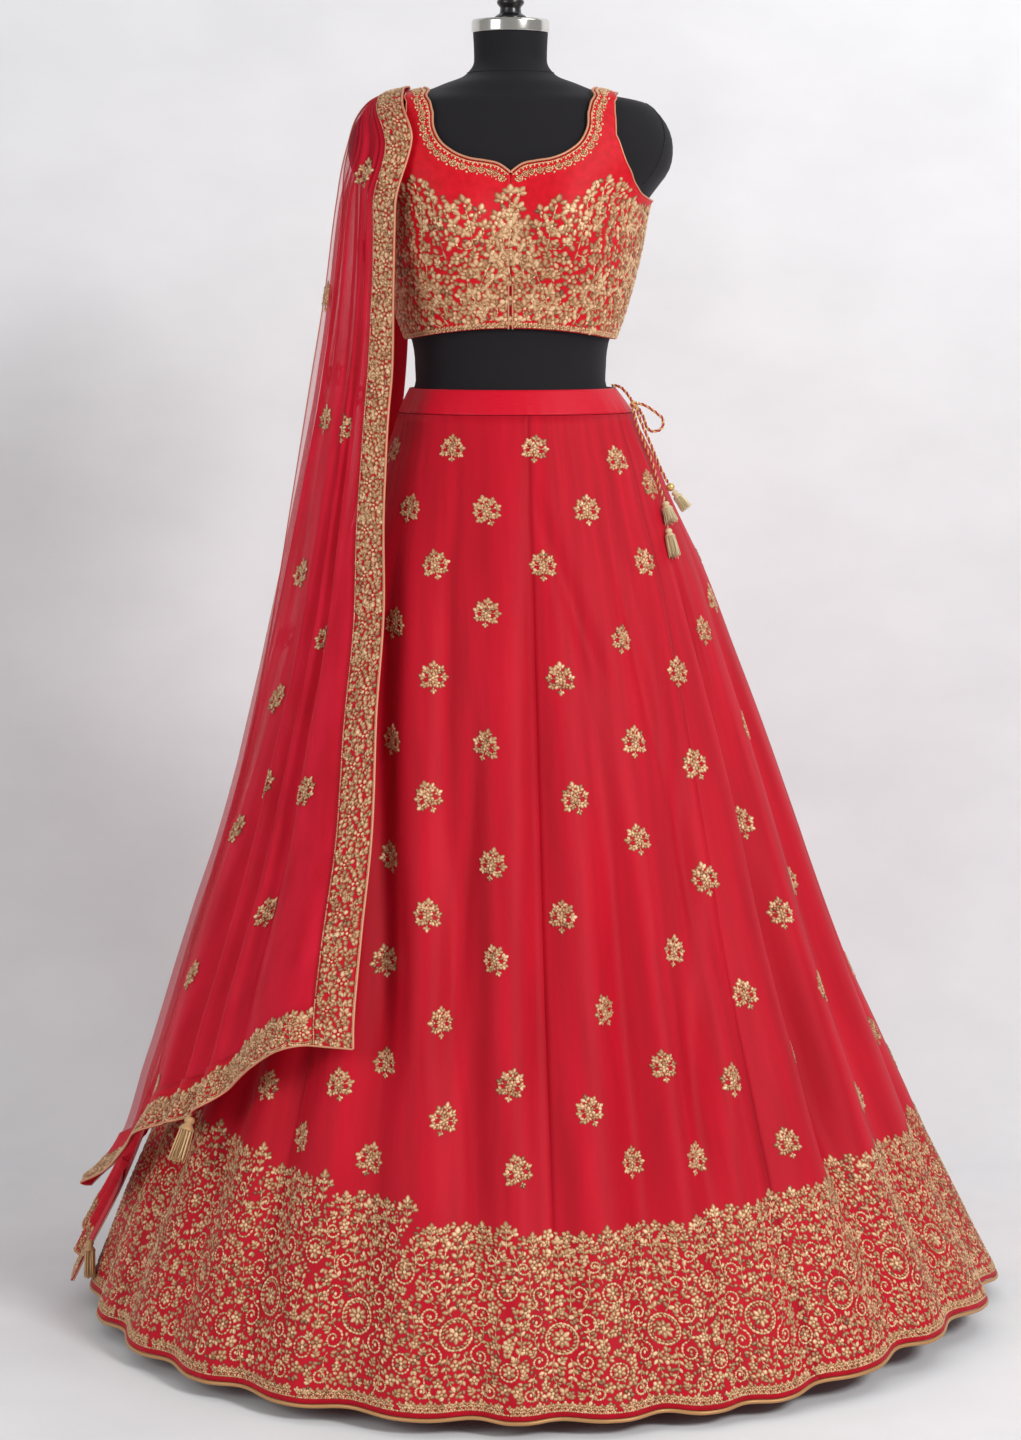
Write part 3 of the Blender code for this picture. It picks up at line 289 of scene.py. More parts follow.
SKIRT = (("height", "left", "right", "front", "back"), (
    (1.0055, 0.1365, 0.1245, 0.1120, 0.1080),
    (0.9750, 0.1500, 0.1345, 0.1300, 0.1240),
    (0.9520, 0.1620, 0.1450, 0.1440, 0.1360),
    (0.9070, 0.1810, 0.1630, 0.1700, 0.1600),
    (0.8400, 0.2130, 0.1960, 0.2050, 0.1920),
    (0.7380, 0.2530, 0.2325, 0.2500, 0.2320),
    (0.6360, 0.2930, 0.2620, 0.2920, 0.2700),
    (0.5450, 0.3280, 0.2850, 0.3300, 0.3050),
    (0.4530, 0.3630, 0.3075, 0.3680, 0.3400),
    (0.3830, 0.3920, 0.3330, 0.3970, 0.3660),
    (0.3140, 0.4220, 0.3600, 0.4250, 0.3920),
    (0.2440, 0.4510, 0.3880, 0.4550, 0.4180),
    (0.1860, 0.4750, 0.4110, 0.4800, 0.4400),
    (0.1270, 0.5045, 0.4370, 0.5050, 0.4620),
    (0.0800, 0.5280, 0.4550, 0.5250, 0.4800),
    (0.0170, 0.5610, 0.4800, 0.5490, 0.5020),
))
SKIRT_TOP, SKIRT_HEM = 1.0055, 0.0200
# One row per fold's hollow, from the wearer's right back round the front. Angles in degrees from the front.
FOLDS = (("hem_angle", "waist_angle", "depth", "start", "lift"), (
    (-173.0, -173.0, 0.030, 0.15, 0.000),
    (-157.0, -158.0, 0.034, 0.20, 0.000),
    (-141.0, -144.0, 0.028, 0.15, 0.000),
    (-125.0, -130.0, 0.034, 0.20, 0.000),
    (-109.0, -117.0, 0.030, 0.15, 0.000),
    (-93.0, -105.0, 0.030, 0.20, 0.000),
    (-78.0, -94.0, 0.026, 0.20, 0.000),
    (-64.0, -84.0, 0.030, 0.25, 0.000),
    (-50.0, -75.0, 0.026, 0.20, 0.000),
    (-36.0, -66.0, 0.028, 0.20, 0.000),
    (-20.5, -56.0, 0.030, 0.10, 0.000),
    (-4.5, -26.0, 0.026, 0.05, 0.000),
    (5.3, 8.0, 0.020, 0.05, 0.000),
    (16.4, 25.0, 0.030, 0.25, 0.000),
    (26.0, 45.0, 0.022, 0.30, 0.000),
    (35.5, 60.0, 0.024, 0.35, 0.006),
    (49.5, 74.0, 0.036, 0.25, 0.013),
    (62.0, 86.0, 0.028, 0.40, 0.017),
    (79.5, 98.0, 0.044, 0.45, 0.008),
    (97.0, 110.0, 0.034, 0.30, 0.003),
    (115.0, 123.0, 0.030, 0.20, 0.000),
    (133.0, 138.0, 0.034, 0.20, 0.000),
    (151.0, 154.0, 0.030, 0.15, 0.000),
    (169.0, 170.0, 0.032, 0.20, 0.000),
))
FOLD_COUNT = len(FOLDS[1])
# Share of a fold's depth that the stiff worked hem takes out of it.
HEM_EASE = 0.62
PANELS = 8


def skirt_base(angle, height):
    """Half widths and depth of the unfolded skirt, as a point on its ellipse at each angle."""
    left = smooth(SKIRT, "height", "left", height)
    right = smooth(SKIRT, "height", "right", height)
    front = smooth(SKIRT, "height", "front", height)
    back = smooth(SKIRT, "height", "back", height)
    sine, cosine = np.sin(angle), np.cos(angle)
    x = np.where(sine > 0, left, right) * sine
    y = np.where(cosine > 0, -front, -back) * cosine
    return x, y


def fold_angle(turn, along):
    """Angle of a fold line: turn counts folds round the skirt, along runs from the waist to the hem."""
    hem = column(FOLDS, "hem_angle")
    waist = column(FOLDS, "waist_angle")
    marks = np.arange(-3, FOLD_COUNT + 4)
    laps = np.floor_divide(marks, FOLD_COUNT) * 360.0
    hem = hem[marks % FOLD_COUNT] + laps
    waist = waist[marks % FOLD_COUNT] + laps
    at_hem = smooth((("turn", "angle"), tuple(zip(marks, hem))), "turn", "angle", turn)
    at_waist = smooth((("turn", "angle"), tuple(zip(marks, waist))), "turn", "angle", turn)
    radius = 0.125 + 0.415 * np.asarray(along, float)
    share = (0.125 / radius - 0.125 / 0.540) / (1.0 - 0.125 / 0.540)
    return np.radians(mix(at_hem, at_waist, share))


def fold_depth(turn, along):
    """How far a point sits in from the skirt's outline."""
    depth = column(FOLDS, "depth")
    start = column(FOLDS, "start")
    near = np.floor(np.asarray(turn, float) + 0.5)
    apart = np.asarray(turn, float) - near
    index = near.astype(int) % FOLD_COUNT
    grown = ramp(along, start[index] - 0.15, 1.05) * (1.0 - HEM_EASE * ramp(along, 0.60, 1.0))
    return depth[index] * grown * (0.5 + 0.5 * np.cos(TAU * apart)) ** 1.4


def hem_lift(turn, along):
    """The hem rides up a little at the wearer's left front."""
    marks = np.arange(-1, FOLD_COUNT + 2)
    lift = column(FOLDS, "lift")[marks % FOLD_COUNT]
    keyed = (("turn", "lift"), tuple(zip(marks, lift)))
    return smooth(keyed, "turn", "lift", turn) * np.asarray(along, float) ** 4


def skirt_point(turn, along):
    """A point of the folded skirt at a fold count and a share of the way to the hem."""
    turn, along = np.broadcast_arrays(np.asarray(turn, float), np.asarray(along, float))
    angle = fold_angle(turn, along)
    inward = fold_depth(turn, along) + soften(turn, along, angle)
    fall = mix(SKIRT_TOP, SKIRT_HEM, along)
    height = fall + 0.25 * inward * ramp(along, 0.8, 1.0) + hem_lift(turn, along)
    x, y = skirt_base(angle, height)
    size = np.hypot(x, y)
    scale = (size - inward) / size
    return np.stack([x * scale, y * scale, height], -1)


def skirt_normal(turn, along):
    return -surface_normal(skirt_point, turn, along, 1e-3)


HEM_PIPING_RADIUS = 0.0022


# The waistband, open at the wearer's left where the drawstring leaves it.

BAND_LOW, BAND_HIGH = 1.0062, 1.0330
BAND_OPEN_FIRST, BAND_OPEN_LAST = 84.2, 85.8


def band_point(angle, height, out=0.0):
    u = (height - BAND_LOW) / (BAND_HIGH - BAND_LOW)
    left = mix(0.1372, 0.1175, u) + out
    right = mix(0.1252, 0.1130, u) + out
    front = mix(0.1127, 0.0990, u) + out
    back = mix(0.1087, 0.0980, u) + out
    sine, cosine = np.sin(angle), np.cos(angle)
    x = np.where(sine > 0, left, right) * sine
    y = -np.where(cosine > 0, front, back) * cosine
    return np.stack(np.broadcast_arrays(x, y, height), -1)


# The dupatta: a long net over the wearer's right shoulder. Sections run from the front end, up over
# the shoulder and down the back. Each has an inner and an outer edge, as angle from the front,
# distance from the axis and height; a lap says how far its pleats stand out.

NET_WALL = 0.0012
NET = (("along", "in_angle", "in_radius", "in_height", "out_angle", "out_radius", "out_height", "lap"), (
    (0.00, -22.5, 0.4130, 0.3640, -89.0, 0.4870, 0.1330, 0.016),
    (0.04, -23.0, 0.4040, 0.3900, -91.0, 0.4450, 0.1650, 0.016),
    (0.12, -24.0, 0.3710, 0.4700, -92.0, 0.4060, 0.2600, 0.016),
    (0.22, -25.6, 0.3260, 0.5700, -92.0, 0.3620, 0.4000, 0.015),
    (0.34, -28.7, 0.2850, 0.6900, -92.0, 0.3150, 0.5430, 0.014),
    (0.46, -33.6, 0.2350, 0.8100, -92.0, 0.2750, 0.7340, 0.012),
    (0.58, -44.0, 0.1880, 0.9300, -91.0, 0.2430, 0.9200, 0.010),
    (0.68, -50.7, 0.1620, 1.0300, -91.0, 0.2230, 1.0400, 0.008),
    (0.78, -50.0, 0.1590, 1.1300, -90.0, 0.2060, 1.1400, 0.008),
    (0.87, -48.5, 0.1600, 1.2300, -86.0, 0.1930, 1.2350, 0.007),
    (0.935, -48.0, 0.1390, 1.3020, -82.0, 0.1820, 1.2950, 0.004),
    (0.965, -57.0, 0.1355, 1.3390, -84.0, 0.1700, 1.3300, 0.003),
    (0.985, -71.0, 0.1205, 1.3575, -87.0, 0.1560, 1.3470, 0.003),
    (1.00, -90.0, 0.1085, 1.3618, -90.0, 0.1440, 1.3540, 0.002),
    (1.015, -109.0, 0.1205, 1.3575, -94.0, 0.1570, 1.3470, 0.003),
    (1.035, -122.0, 0.1370, 1.3390, -97.0, 0.1720, 1.3300, 0.004),
    (1.07, -132.0, 0.1510, 1.2970, -99.0, 0.1850, 1.2870, 0.005),
    (1.15, -134.0, 0.1590, 1.2000, -98.0, 0.1900, 1.2000, 0.007),
    (1.26, -134.0, 0.1600, 1.0700, -97.0, 0.2070, 1.0700, 0.008),
    (1.36, -134.0, 0.1780, 0.9500, -96.0, 0.2270, 0.9500, 0.010),
    (1.48, -133.0, 0.2180, 0.8200, -96.0, 0.2500, 0.8000, 0.012),
    (1.60, -131.0, 0.2700, 0.6700, -96.0, 0.2960, 0.6200, 0.014),
    (1.72, -129.0, 0.3230, 0.5200, -95.0, 0.3430, 0.4500, 0.015),
    (1.84, -127.0, 0.3750, 0.3800, -93.0, 0.3930, 0.2700, 0.015),
    (1.94, -125.0, 0.4180, 0.2600, -88.0, 0.4480, 0.1150, 0.014),
    (2.00, -124.0, 0.4450, 0.1900, -81.0, 0.4990, 0.0300, 0.012),
))
NET_PLEATS = 6


# The long border's share of the net's width.
BORDER_SHARE = (("along", "share"), (
    (0.00, 0.092),
    (0.22, 0.115),
    (0.34, 0.128),
    (0.46, 0.155),
    (0.58, 0.210),
    (0.68, 0.255),
    (0.87, 0.290),
    (0.95, 0.420),
    (1.00, 0.720),
    (1.05, 0.420),
    (1.15, 0.300),
    (1.36, 0.260),
    (1.60, 0.200),
    (2.00, 0.170),
))
BORDER_REST = 0.5


def pleat(place):
    """Stand-out of the net at a place across it: 0 to 1 is the border, then one unit for each pleat."""
    wave = 0.5 - 0.5 * np.cos(TAU * (place - 1.0))
    calm = 1.0 - 0.7 * ramp(place, NET_PLEATS - 0.3, NET_PLEATS + 0.6)
    flat = BORDER_REST * (1.0 - ramp(place, 1.0, 1.5))
    return flat + np.where(place > 1.0, np.clip(wave, 0.0, 1.0) ** 0.8, 0.0) * calm


def end_drop(across):
    """The end's lower edge falls in two steps from the inner to the outer corner."""
    return 0.45 * ramp(across, 0.10, 0.48) + 0.55 * ramp(across, 0.42, 0.95)


def net_point(place, along):
    """A point of the net at a place across it and a share of the way along it."""
    place, along = np.broadcast_arrays(np.asarray(place, float), np.asarray(along, float))
    values = {name: smooth(NET, "along", name, along) for name in NET[0][1:]}
    share = smooth(BORDER_SHARE, "along", "share", along)
    across = np.where(place < 1.0, share * place, share + (1.0 - share) * (place - 1.0) / NET_PLEATS)
    bend = np.clip(across, 0.0, None) ** 1.15
    angle = np.radians(mix(values["in_angle"], values["out_angle"], across))
    radius = mix(values["in_radius"], values["out_radius"], bend)
    low = np.clip(1.0 - np.minimum(along, 2.0 - along) / 0.25, 0.0, 1.0)
    drop = mix(across, end_drop(across), low)
    height = mix(values["in_height"], values["out_height"], drop)
    calm = 1.0 - ramp(place, NET_PLEATS - 0.2, NET_PLEATS + 1.0)
    uneven = 0.42 * np.sin(1.9 * place + 4.0 * along) * ramp(place, 1.0, 2.0) * calm
    radius = radius + values["lap"] * pleat(place + uneven)
    return np.stack([radius * np.sin(angle), -radius * np.cos(angle), height], -1)


def net_normal(place, along):
    return -surface_normal(net_point, place, along, 2e-3)


BORDER_OUT = NET_WALL + SEAM_GAP + 0.0004
BORDER_WALL = 0.0016


# The drawstring: twisted cord from the waistband's opening, a slip loop, two tails, a bead and three
# tassels.

CORD_RADIUS = 0.0018
CORD_SPACING = 0.0080
BEAD_RADIUS = 0.0048
KNOT = (0.1368, -0.0312, 1.0150)
KNOT_RADIUS = 0.0048
# Each row is a place along the cord: wearer's left, depth from the axis, height.
LEAD = (("left", "depth", "height"), (
    (0.1130, -0.0090, 1.0357),
    (0.1195, -0.0110, 1.0353),
    (0.1258, -0.0150, 1.0310),
    (0.1310, -0.0205, 1.0250),
    (0.1352, -0.0272, 1.0182),
))
LOOP = (("left", "depth", "height"), (
    (0.1420, -0.0325, 1.0165),
    (0.1500, -0.0340, 1.0138),
    (0.1625, -0.0350, 1.0053),
    (0.1697, -0.0360, 0.9968),
    (0.1668, -0.0380, 0.9883),
    (0.1584, -0.0400, 0.9856),
    (0.1516, -0.0390, 0.9895),
    (0.1482, -0.0350, 0.9990),
    (0.1420, -0.0300, 1.0118),
))
TAIL_SHORT = (("left", "depth", "height"), (
    (0.1356, -0.0340, 1.0110),
    (0.1412, -0.0440, 0.9900),
    (0.1495, -0.0480, 0.9691),
    (0.1555, -0.0530, 0.9551),
    (0.1632, -0.0620, 0.9301),
    (0.1696, -0.0745, 0.9110),
))
TAIL_LONG = (("left", "depth", "height"), (
    (0.1392, -0.0352, 1.0110),
    (0.1462, -0.0450, 0.9920),
    (0.1550, -0.0475, 0.9720),
    (0.1640, -0.0500, 0.9500),
    (0.1737, -0.0546, 0.9300),
))
BEAD = (0.1768, -0.0560, 0.9250)
TASSELS = (("left", "depth", "height", "way_x", "way_y", "head", "length", "radius", "spread", "stem"), (
    (0.1798, -0.0580, 0.9195, 0.75, -0.20, 0.0085, 0.0160, 0.0058, 0.40, 0.0),
    (0.1700, -0.0760, 0.9100, 0.32, -0.50, 0.0090, 0.0165, 0.0064, 0.45, 0.0),
    (0.1728, -0.0945, 0.8815, 0.24, -0.55, 0.0100, 0.0240, 0.0060, 0.30, 0.0040),
))


def meet(centre, radius, toward):
    """The point just clear of a ball, on the side that faces another point."""
    way = np.subtract(toward, centre)
    return np.asarray(centre) + way / np.linalg.norm(way) * (radius + 2.6 * SEAM_GAP)


def cord_path(table):
    """Points of a smooth line through a table's places, evenly apart along it."""
    rows = np.array(table[1], float)
    n = len(rows)
    at = np.linspace(0, n - 1, (n - 1) * 12 + 1)
    keyed = (("at",) + table[0], tuple((k,) + tuple(row) for k, row in enumerate(rows)))
    return even_path(np.stack([smooth(keyed, "at", name, at) for name in table[0]], -1), CORD_SPACING)


# Meshes from arrays, with a shade and a flow value at each point for the materials.

def make_mesh(name, points, faces, material, shade=None, cover=None, flow=None, index=None):
    """faces is a list of arrays, each of one face size. index gives each face's material."""
    points = np.asarray(points, np.float32).reshape(-1, 3)
    mesh = bpy.data.meshes.new(name)
    mesh.vertices.add(len(points))
    mesh.vertices.foreach_set("co", points.ravel())
    sizes = np.concatenate([np.full(len(f), f.shape[1]) for f in faces])
    corners = np.concatenate([np.asarray(f).ravel() for f in faces]).astype(np.int32)
    mesh.loops.add(len(corners))
    mesh.loops.foreach_set("vertex_index", corners)
    mesh.polygons.add(len(sizes))
    starts = together([0], np.cumsum(sizes)[:-1]).astype(np.int32)
    mesh.polygons.foreach_set("loop_start", starts)
    if index is not None:
        mesh.polygons.foreach_set("material_index", np.asarray(index, np.int32))
    mesh.update(calc_edges=True)
    mesh.shade_smooth()
    for title, values in (("shade", shade), ("cover", cover)):
        if values is not None:
            mesh.attributes.new(title, "FLOAT", "POINT").data.foreach_set(
                "value", np.asarray(values, np.float32).ravel()
            )
    if flow is not None:
        layer = mesh.uv_layers.new(name="flow")
        layer.data.foreach_set("uv", np.asarray(flow, np.float32).reshape(-1, 2)[corners].ravel())
    for m in material if isinstance(material, (list, tuple)) else [material]:
        mesh.materials.append(m)
    made = bpy.data.objects.new(name, mesh)
    bpy.context.scene.collection.objects.link(made)
    return made


def quads(columns, rows, closed=False):
    across = columns if closed else columns - 1
    i, j = np.meshgrid(np.arange(across), np.arange(rows - 1))
    a = j * columns + i
    b = j * columns + (i + 1) % columns
    return np.stack([a, b, b + columns, a + columns], -1).reshape(-1, 4)


def rim_of(faces):
    """Directed edges of an array of quads that belong to one quad only."""
    ends = np.concatenate([faces[:, [k, (k + 1) % 4]] for k in range(4)])
    keys = np.sort(ends, axis=1)
    _, first, count = np.unique(keys, axis=0, return_index=True, return_counts=True)
    return ends[first[count == 1]]


def thin(name, outer, inner, faces, material, **values):
    """A closed thin shell between two sheets of points that share their quads."""
    outer = np.asarray(outer).reshape(-1, 3)
    inner = np.asarray(inner).reshape(-1, 3)
    n = len(outer)
    rim = rim_of(faces)
    side = np.stack([rim[:, 1], rim[:, 0], rim[:, 0] + n, rim[:, 1] + n], -1)
    every = together(faces, faces[:, ::-1] + n, side)
    doubled = {}
    for key, value in values.items():
        if value is not None:
            value = np.asarray(value)
            doubled[key] = together(value, value) if key != "index" else value
    return make_mesh(name, together(outer, inner), [every], material, **doubled)


def face_out(faces, points, normal):
    """Turns the quads round if they look against the normals."""
    a, b, c = (points[faces[:, k]] for k in (0, 1, 2))
    if np.sum(np.cross(b - a, c - a) * normal[faces[:, 0]]) < 0:
        return faces[:, ::-1]
    return faces


def turned(name, profile, sides, material, centre=(0.0, 0.0)):
    """A lathe piece from (radius, height) pairs, closed at both ends."""
    rows = np.array([p for p in profile if p[0] > 0], float)
    turn = np.arange(sides) * TAU / sides
    ring = np.stack([np.cos(turn), np.sin(turn)], -1)
    points = np.concatenate([np.c_[ring * r + np.array(centre), np.full(sides, z)] for r, z in rows])
    ends = np.array([(centre[0], centre[1], rows[0, 1]), (centre[0], centre[1], rows[-1, 1])])
    k = np.arange(sides)
    last = (len(rows) - 1) * sides
    caps = together(
        np.stack([np.full(sides, len(points)), (k + 1) % sides, k], -1),
        np.stack([np.full(sides, len(points) + 1), last + k, last + (k + 1) % sides], -1),
    )
    body = quads(sides, len(rows), closed=True)
    made = make_mesh(name, together(points, ends), [body, caps], material)
    made.data.set_sharp_from_angle(angle=np.radians(35.0))
    return made


def rounded(profile, steps=5, share=0.35):
    """A profile with its corners cut to small curves."""
    rows = np.array(profile, float)
    out = [rows[0]]
    for a, b, c in zip(rows[:-2], rows[1:-1], rows[2:]):
        reach = min(0.0012, share * np.linalg.norm(b - a), share * np.linalg.norm(c - b))
        p = b + (a - b) / np.linalg.norm(a - b) * reach
        q = b + (c - b) / np.linalg.norm(c - b) * reach
        for t in np.linspace(0.0, 1.0, steps):
            out.append((1 - t) ** 2 * p + 2 * t * (1 - t) * b + t * t * q)
    out.append(rows[-1])
    return [tuple(p) for p in out]


def pipe(path, radius, sides=8, closed=False):
    """Points and quads of a round line along a path."""
    path = np.asarray(path, float)
    if closed:
        along = np.roll(path, -1, 0) - np.roll(path, 1, 0)
    else:
        along = np.gradient(path, axis=0)
    along /= np.linalg.norm(along, axis=1, keepdims=True) + 1e-12
    side = np.zeros_like(path)
    start = np.cross(along[0], (0.0, 0.0, 1.0))
    if np.linalg.norm(start) < 0.1:
        start = np.cross(along[0], (1.0, 0.0, 0.0))
    side[0] = start / np.linalg.norm(start)
    for k in range(1, len(path)):
        kept = side[k - 1] - along[k] * np.dot(side[k - 1], along[k])
        side[k] = kept / np.linalg.norm(kept)
    other = np.cross(along, side)
    turn = np.arange(sides) * TAU / sides
    radius = np.broadcast_to(radius, len(path))[:, None, None]
    ring = side[:, None] * np.cos(turn)[None, :, None] + other[:, None] * np.sin(turn)[None, :, None]
    points = path[:, None] + ring * radius
    faces = quads(sides, len(path), closed=True)
    if closed:
        k = np.arange(sides)
        last = (len(path) - 1) * sides
        shift = int(np.argmin(np.linalg.norm(points[0] - points[-1, :1], axis=1)))
        join = np.stack(
            [last + k, last + (k + 1) % sides, (k + 1 + shift) % sides, (k + shift) % sides], -1
        )
        faces = together(faces, join)
    return points.reshape(-1, 3), faces[:, ::-1]


def gather(parts):
    """Joins (points, faces) parts into one pair."""
    points, faces, total = [], [], 0
    for p, f in parts:
        points.append(p)
        faces.append(f + total)
        total += len(p)
    return np.concatenate(points), np.concatenate(faces)


# Surfaces as grids that both the cloth and the thread work read.

class Surface:
    """Positions and unit normals over a grid of two parameters."""

    def __init__(self, first, second, points, normals, up=1.0):
        self.first, self.second = np.asarray(first, float), np.asarray(second, float)
        self.points, self.normals, self.up = points, normals, up
        by_first = points[:-1, 1:] - points[:-1, :-1]
        by_second = (points[1:, :-1] - points[:-1, :-1]) * up
        self.flip = np.sum(np.cross(by_first, by_second) * normals[:-1, :-1]) > 0
        rows = np.linalg.norm(np.diff(points, axis=1), axis=2)
        self.across = np.concatenate([np.zeros((len(points), 1)), np.cumsum(rows, axis=1)], 1)
        columns = np.linalg.norm(np.diff(points, axis=0), axis=2)
        self.down = np.concatenate([np.zeros((1, points.shape[1])), np.cumsum(columns, axis=0)], 0)

    def read(self, u, v, out):
        """Points a distance out from the surface."""
        i = np.clip(np.searchsorted(self.first, u, side="right") - 1, 0, len(self.first) - 2)
        j = np.clip(np.searchsorted(self.second, v, side="right") - 1, 0, len(self.second) - 2)
        s = np.clip((u - self.first[i]) / (self.first[i + 1] - self.first[i]), 0.0, 1.0)[..., None]
        t = np.clip((v - self.second[j]) / (self.second[j + 1] - self.second[j]), 0.0, 1.0)[..., None]
        found = []
        for grid in (self.points, self.normals):
            low = grid[j, i] * (1 - s) + grid[j, i + 1] * s
            high = grid[j + 1, i] * (1 - s) + grid[j + 1, i + 1] * s
            found.append(low * (1 - t) + high * t)
        normal = found[1] / np.linalg.norm(found[1], axis=-1, keepdims=True)
        return found[0] + normal * np.asarray(out)[..., None]

    def shift(self, u0, v0, a, b):
        """Parameters of places a metres across and b metres along the second way from a start."""
        j = int(np.clip(np.searchsorted(self.second, v0), 1, len(self.second) - 1))
        i = int(np.clip(np.searchsorted(self.first, u0), 1, len(self.first) - 1))
        run = self.across[j]
        u = np.interp(np.interp(u0, self.first, run) + a, run, self.first)
        run = self.down[:, i]
        v = np.interp(np.interp(v0, self.second, run) + b * self.up, run, self.second)
        return u, v


# Thread work. A motif is an array with one row per stitch group: x, y, angle, length, width, rise, shade.

EDGE_X = np.array([0.0, 0.20, 0.52, 0.84, 1.0, 0.84, 0.52, 0.20])
EDGE_Y = np.array([0.0, 0.38, 0.50, 0.30, 0.0, -0.30, -0.50, -0.38])


def leaf_shape(rich):
    """Local points (along, across, height) and triangles of one raised leaf; a rich one has a crest."""
    count = 8 if rich else 6
    pick = np.arange(8) if rich else np.array([0, 1, 3, 4, 5, 7])
    k = np.arange(count)
    m = (k + 1) % count
    edge = np.stack([EDGE_X, EDGE_Y, np.zeros(8)], -1)[pick]
    if not rich:
        points = together(edge, [[0.52, 0.0, 1.0]])
        return points, np.stack([k, m, np.full(count, count)], -1)
    points = together(edge, [[0.28, 0.0, 0.9], [0.72, 0.0, 1.0]])
    far = (0.5 * (edge[k, 0] + edge[m, 0]) > 0.52).astype(int)
    faces = [np.stack([k, m, count + far], -1)]
    for at in k[far != far[k - 1]]:
        faces.append([[at, count + far[at], count + far[at - 1]]])
    return points, np.concatenate(faces)


def spread(stitches, rich):
    """Local places of every point of every stitch: across, along, height, and its shade, which is raised on
    the crest as a painted highlight and lowered at the edge as painted shade.
    """
    shape, faces = leaf_shape(rich)
    x, y, angle, length, width, rise, shade = (stitches[:, k][:, None] for k in range(7))
    along = shape[None, :, 0] * length
    side = shape[None, :, 1] * width
    a = x + np.cos(angle) * along - np.sin(angle) * side
    b = y + np.sin(angle) * along + np.cos(angle) * side
    h = shape[None, :, 2] * rise
    # Painted highlight and painted shade: each stitch's crest is lighter and its edge darker than its own
    # shade.
    shade_with_painted_light = shade + 0.62 * (shape[None, :, 2] - 0.62)
    n = shape.shape[0]
    every = (faces[None] + (np.arange(len(stitches)) * n)[:, None, None]).reshape(-1, 3)
    return a, b, h, shade_with_painted_light, every


# The thread is thick: each stitch is drawn this much longer and wider than its motif's lines.
STITCH_LONG = 1.10
STITCH_WIDE = 1.42


def leaves(rows, rise=0.0012, shade=0.6):
    """Stitches from (x, y, degrees, length, width) rows in millimetres."""
    rows = np.array(rows, float).reshape(-1, 5)
    out = np.zeros((len(rows), 7))
    out[:, :2] = rows[:, :2] * 1e-3
    out[:, 2] = np.radians(rows[:, 2])
    out[:, 3] = rows[:, 3] * 1e-3 * STITCH_LONG
    out[:, 4] = rows[:, 4] * 1e-3 * STITCH_WIDE
    out[:, 5] = rise
    out[:, 6] = shade
    return out


STITCH_OVERLAP = 1.12


def chain(points, width=1.5, rise=0.0010, shade=0.7):
    """A corded line of short stitches along points given in millimetres."""
    p = np.array(points, float)
    d = np.diff(p, axis=0)
    rows = np.c_[
        p[:-1], np.degrees(np.arctan2(d[:, 1], d[:, 0])),
        np.hypot(d[:, 0], d[:, 1]) * STITCH_OVERLAP, np.full(len(d), width)
    ]
    return leaves(rows, rise, shade)


def bead(x, y, size=2.2, shade=0.9, rise=0.0014):
    return leaves([(x - size / 2, y, 0.0, size, size)], rise, shade)


def moved(stitches, x=0.0, y=0.0, turn=0.0, scale=1.0, mirror=False):
    """Motif moved by millimetres, turned by degrees."""
    out = stitches.copy()
    if mirror:
        out[:, 0] = -out[:, 0]
        out[:, 2] = np.pi - out[:, 2]
    t = np.radians(turn)
    px, py = out[:, 0] * scale, out[:, 1] * scale
    out[:, 0] = px * np.cos(t) - py * np.sin(t) + x * 1e-3
    out[:, 1] = px * np.sin(t) + py * np.cos(t) + y * 1e-3
    out[:, 2] += t
    out[:, 3:5] *= scale
    return out


def ring(radius, count, length, width, lean=90.0, shade=0.7, rise=0.0013, start=0.0):
    """Leaves that start on a circle, at even steps round it."""
    rows = []
    for k in range(count):
        angle = start + 360.0 * k / count
        x, y = radius * np.cos(np.radians(angle)), radius * np.sin(np.radians(angle))
        rows.append((x, y, angle + lean, length, width))
    return leaves(rows, rise, shade)


def blossom(radius, petals=5, start=90.0):
    """A small round flower with a bead at its heart."""
    width = radius * 0.85 * 4.4 / petals * 0.8
    flower = ring(radius * 0.22, petals, radius * 0.80, width, 0.0, 0.62, 0.0013, start)
    return together(flower, bead(0, 0, radius * 0.5, 0.95, 0.0017))


def trefoil(size):
    """A small bud of three leaves that opens upward."""
    rows = [
        (0, 0, 90, size, size * 0.55), (0, -0.05 * size, 150, size * 0.85, size * 0.48),
        (0, -0.05 * size, 30, size * 0.85, size * 0.48)
    ]
    return together(leaves(rows, 0.0013, 0.62), bead(0, -0.22 * size, size * 0.34, 0.85))


def curve(start, bend, end, count):
    t = np.linspace(0.0, 1.0, count)[:, None]
    a, b, c = (np.array(p, float) for p in (start, bend, end))
    return (1 - t) ** 2 * a + 2 * t * (1 - t) * b + t * t * c


def scroll(radius, turns=1.25, start=-90.0, count=16):
    """A stem that curls in to its centre."""
    t = np.linspace(0.0, 1.0, count)
    angle = np.radians(start + 360.0 * turns * t)
    r = radius * (1.0 - 0.72 * t)
    return np.stack([r * np.cos(angle), r * np.sin(angle)], -1)


FROND_LEAN = 48.0  # degrees from the stem to its leaves


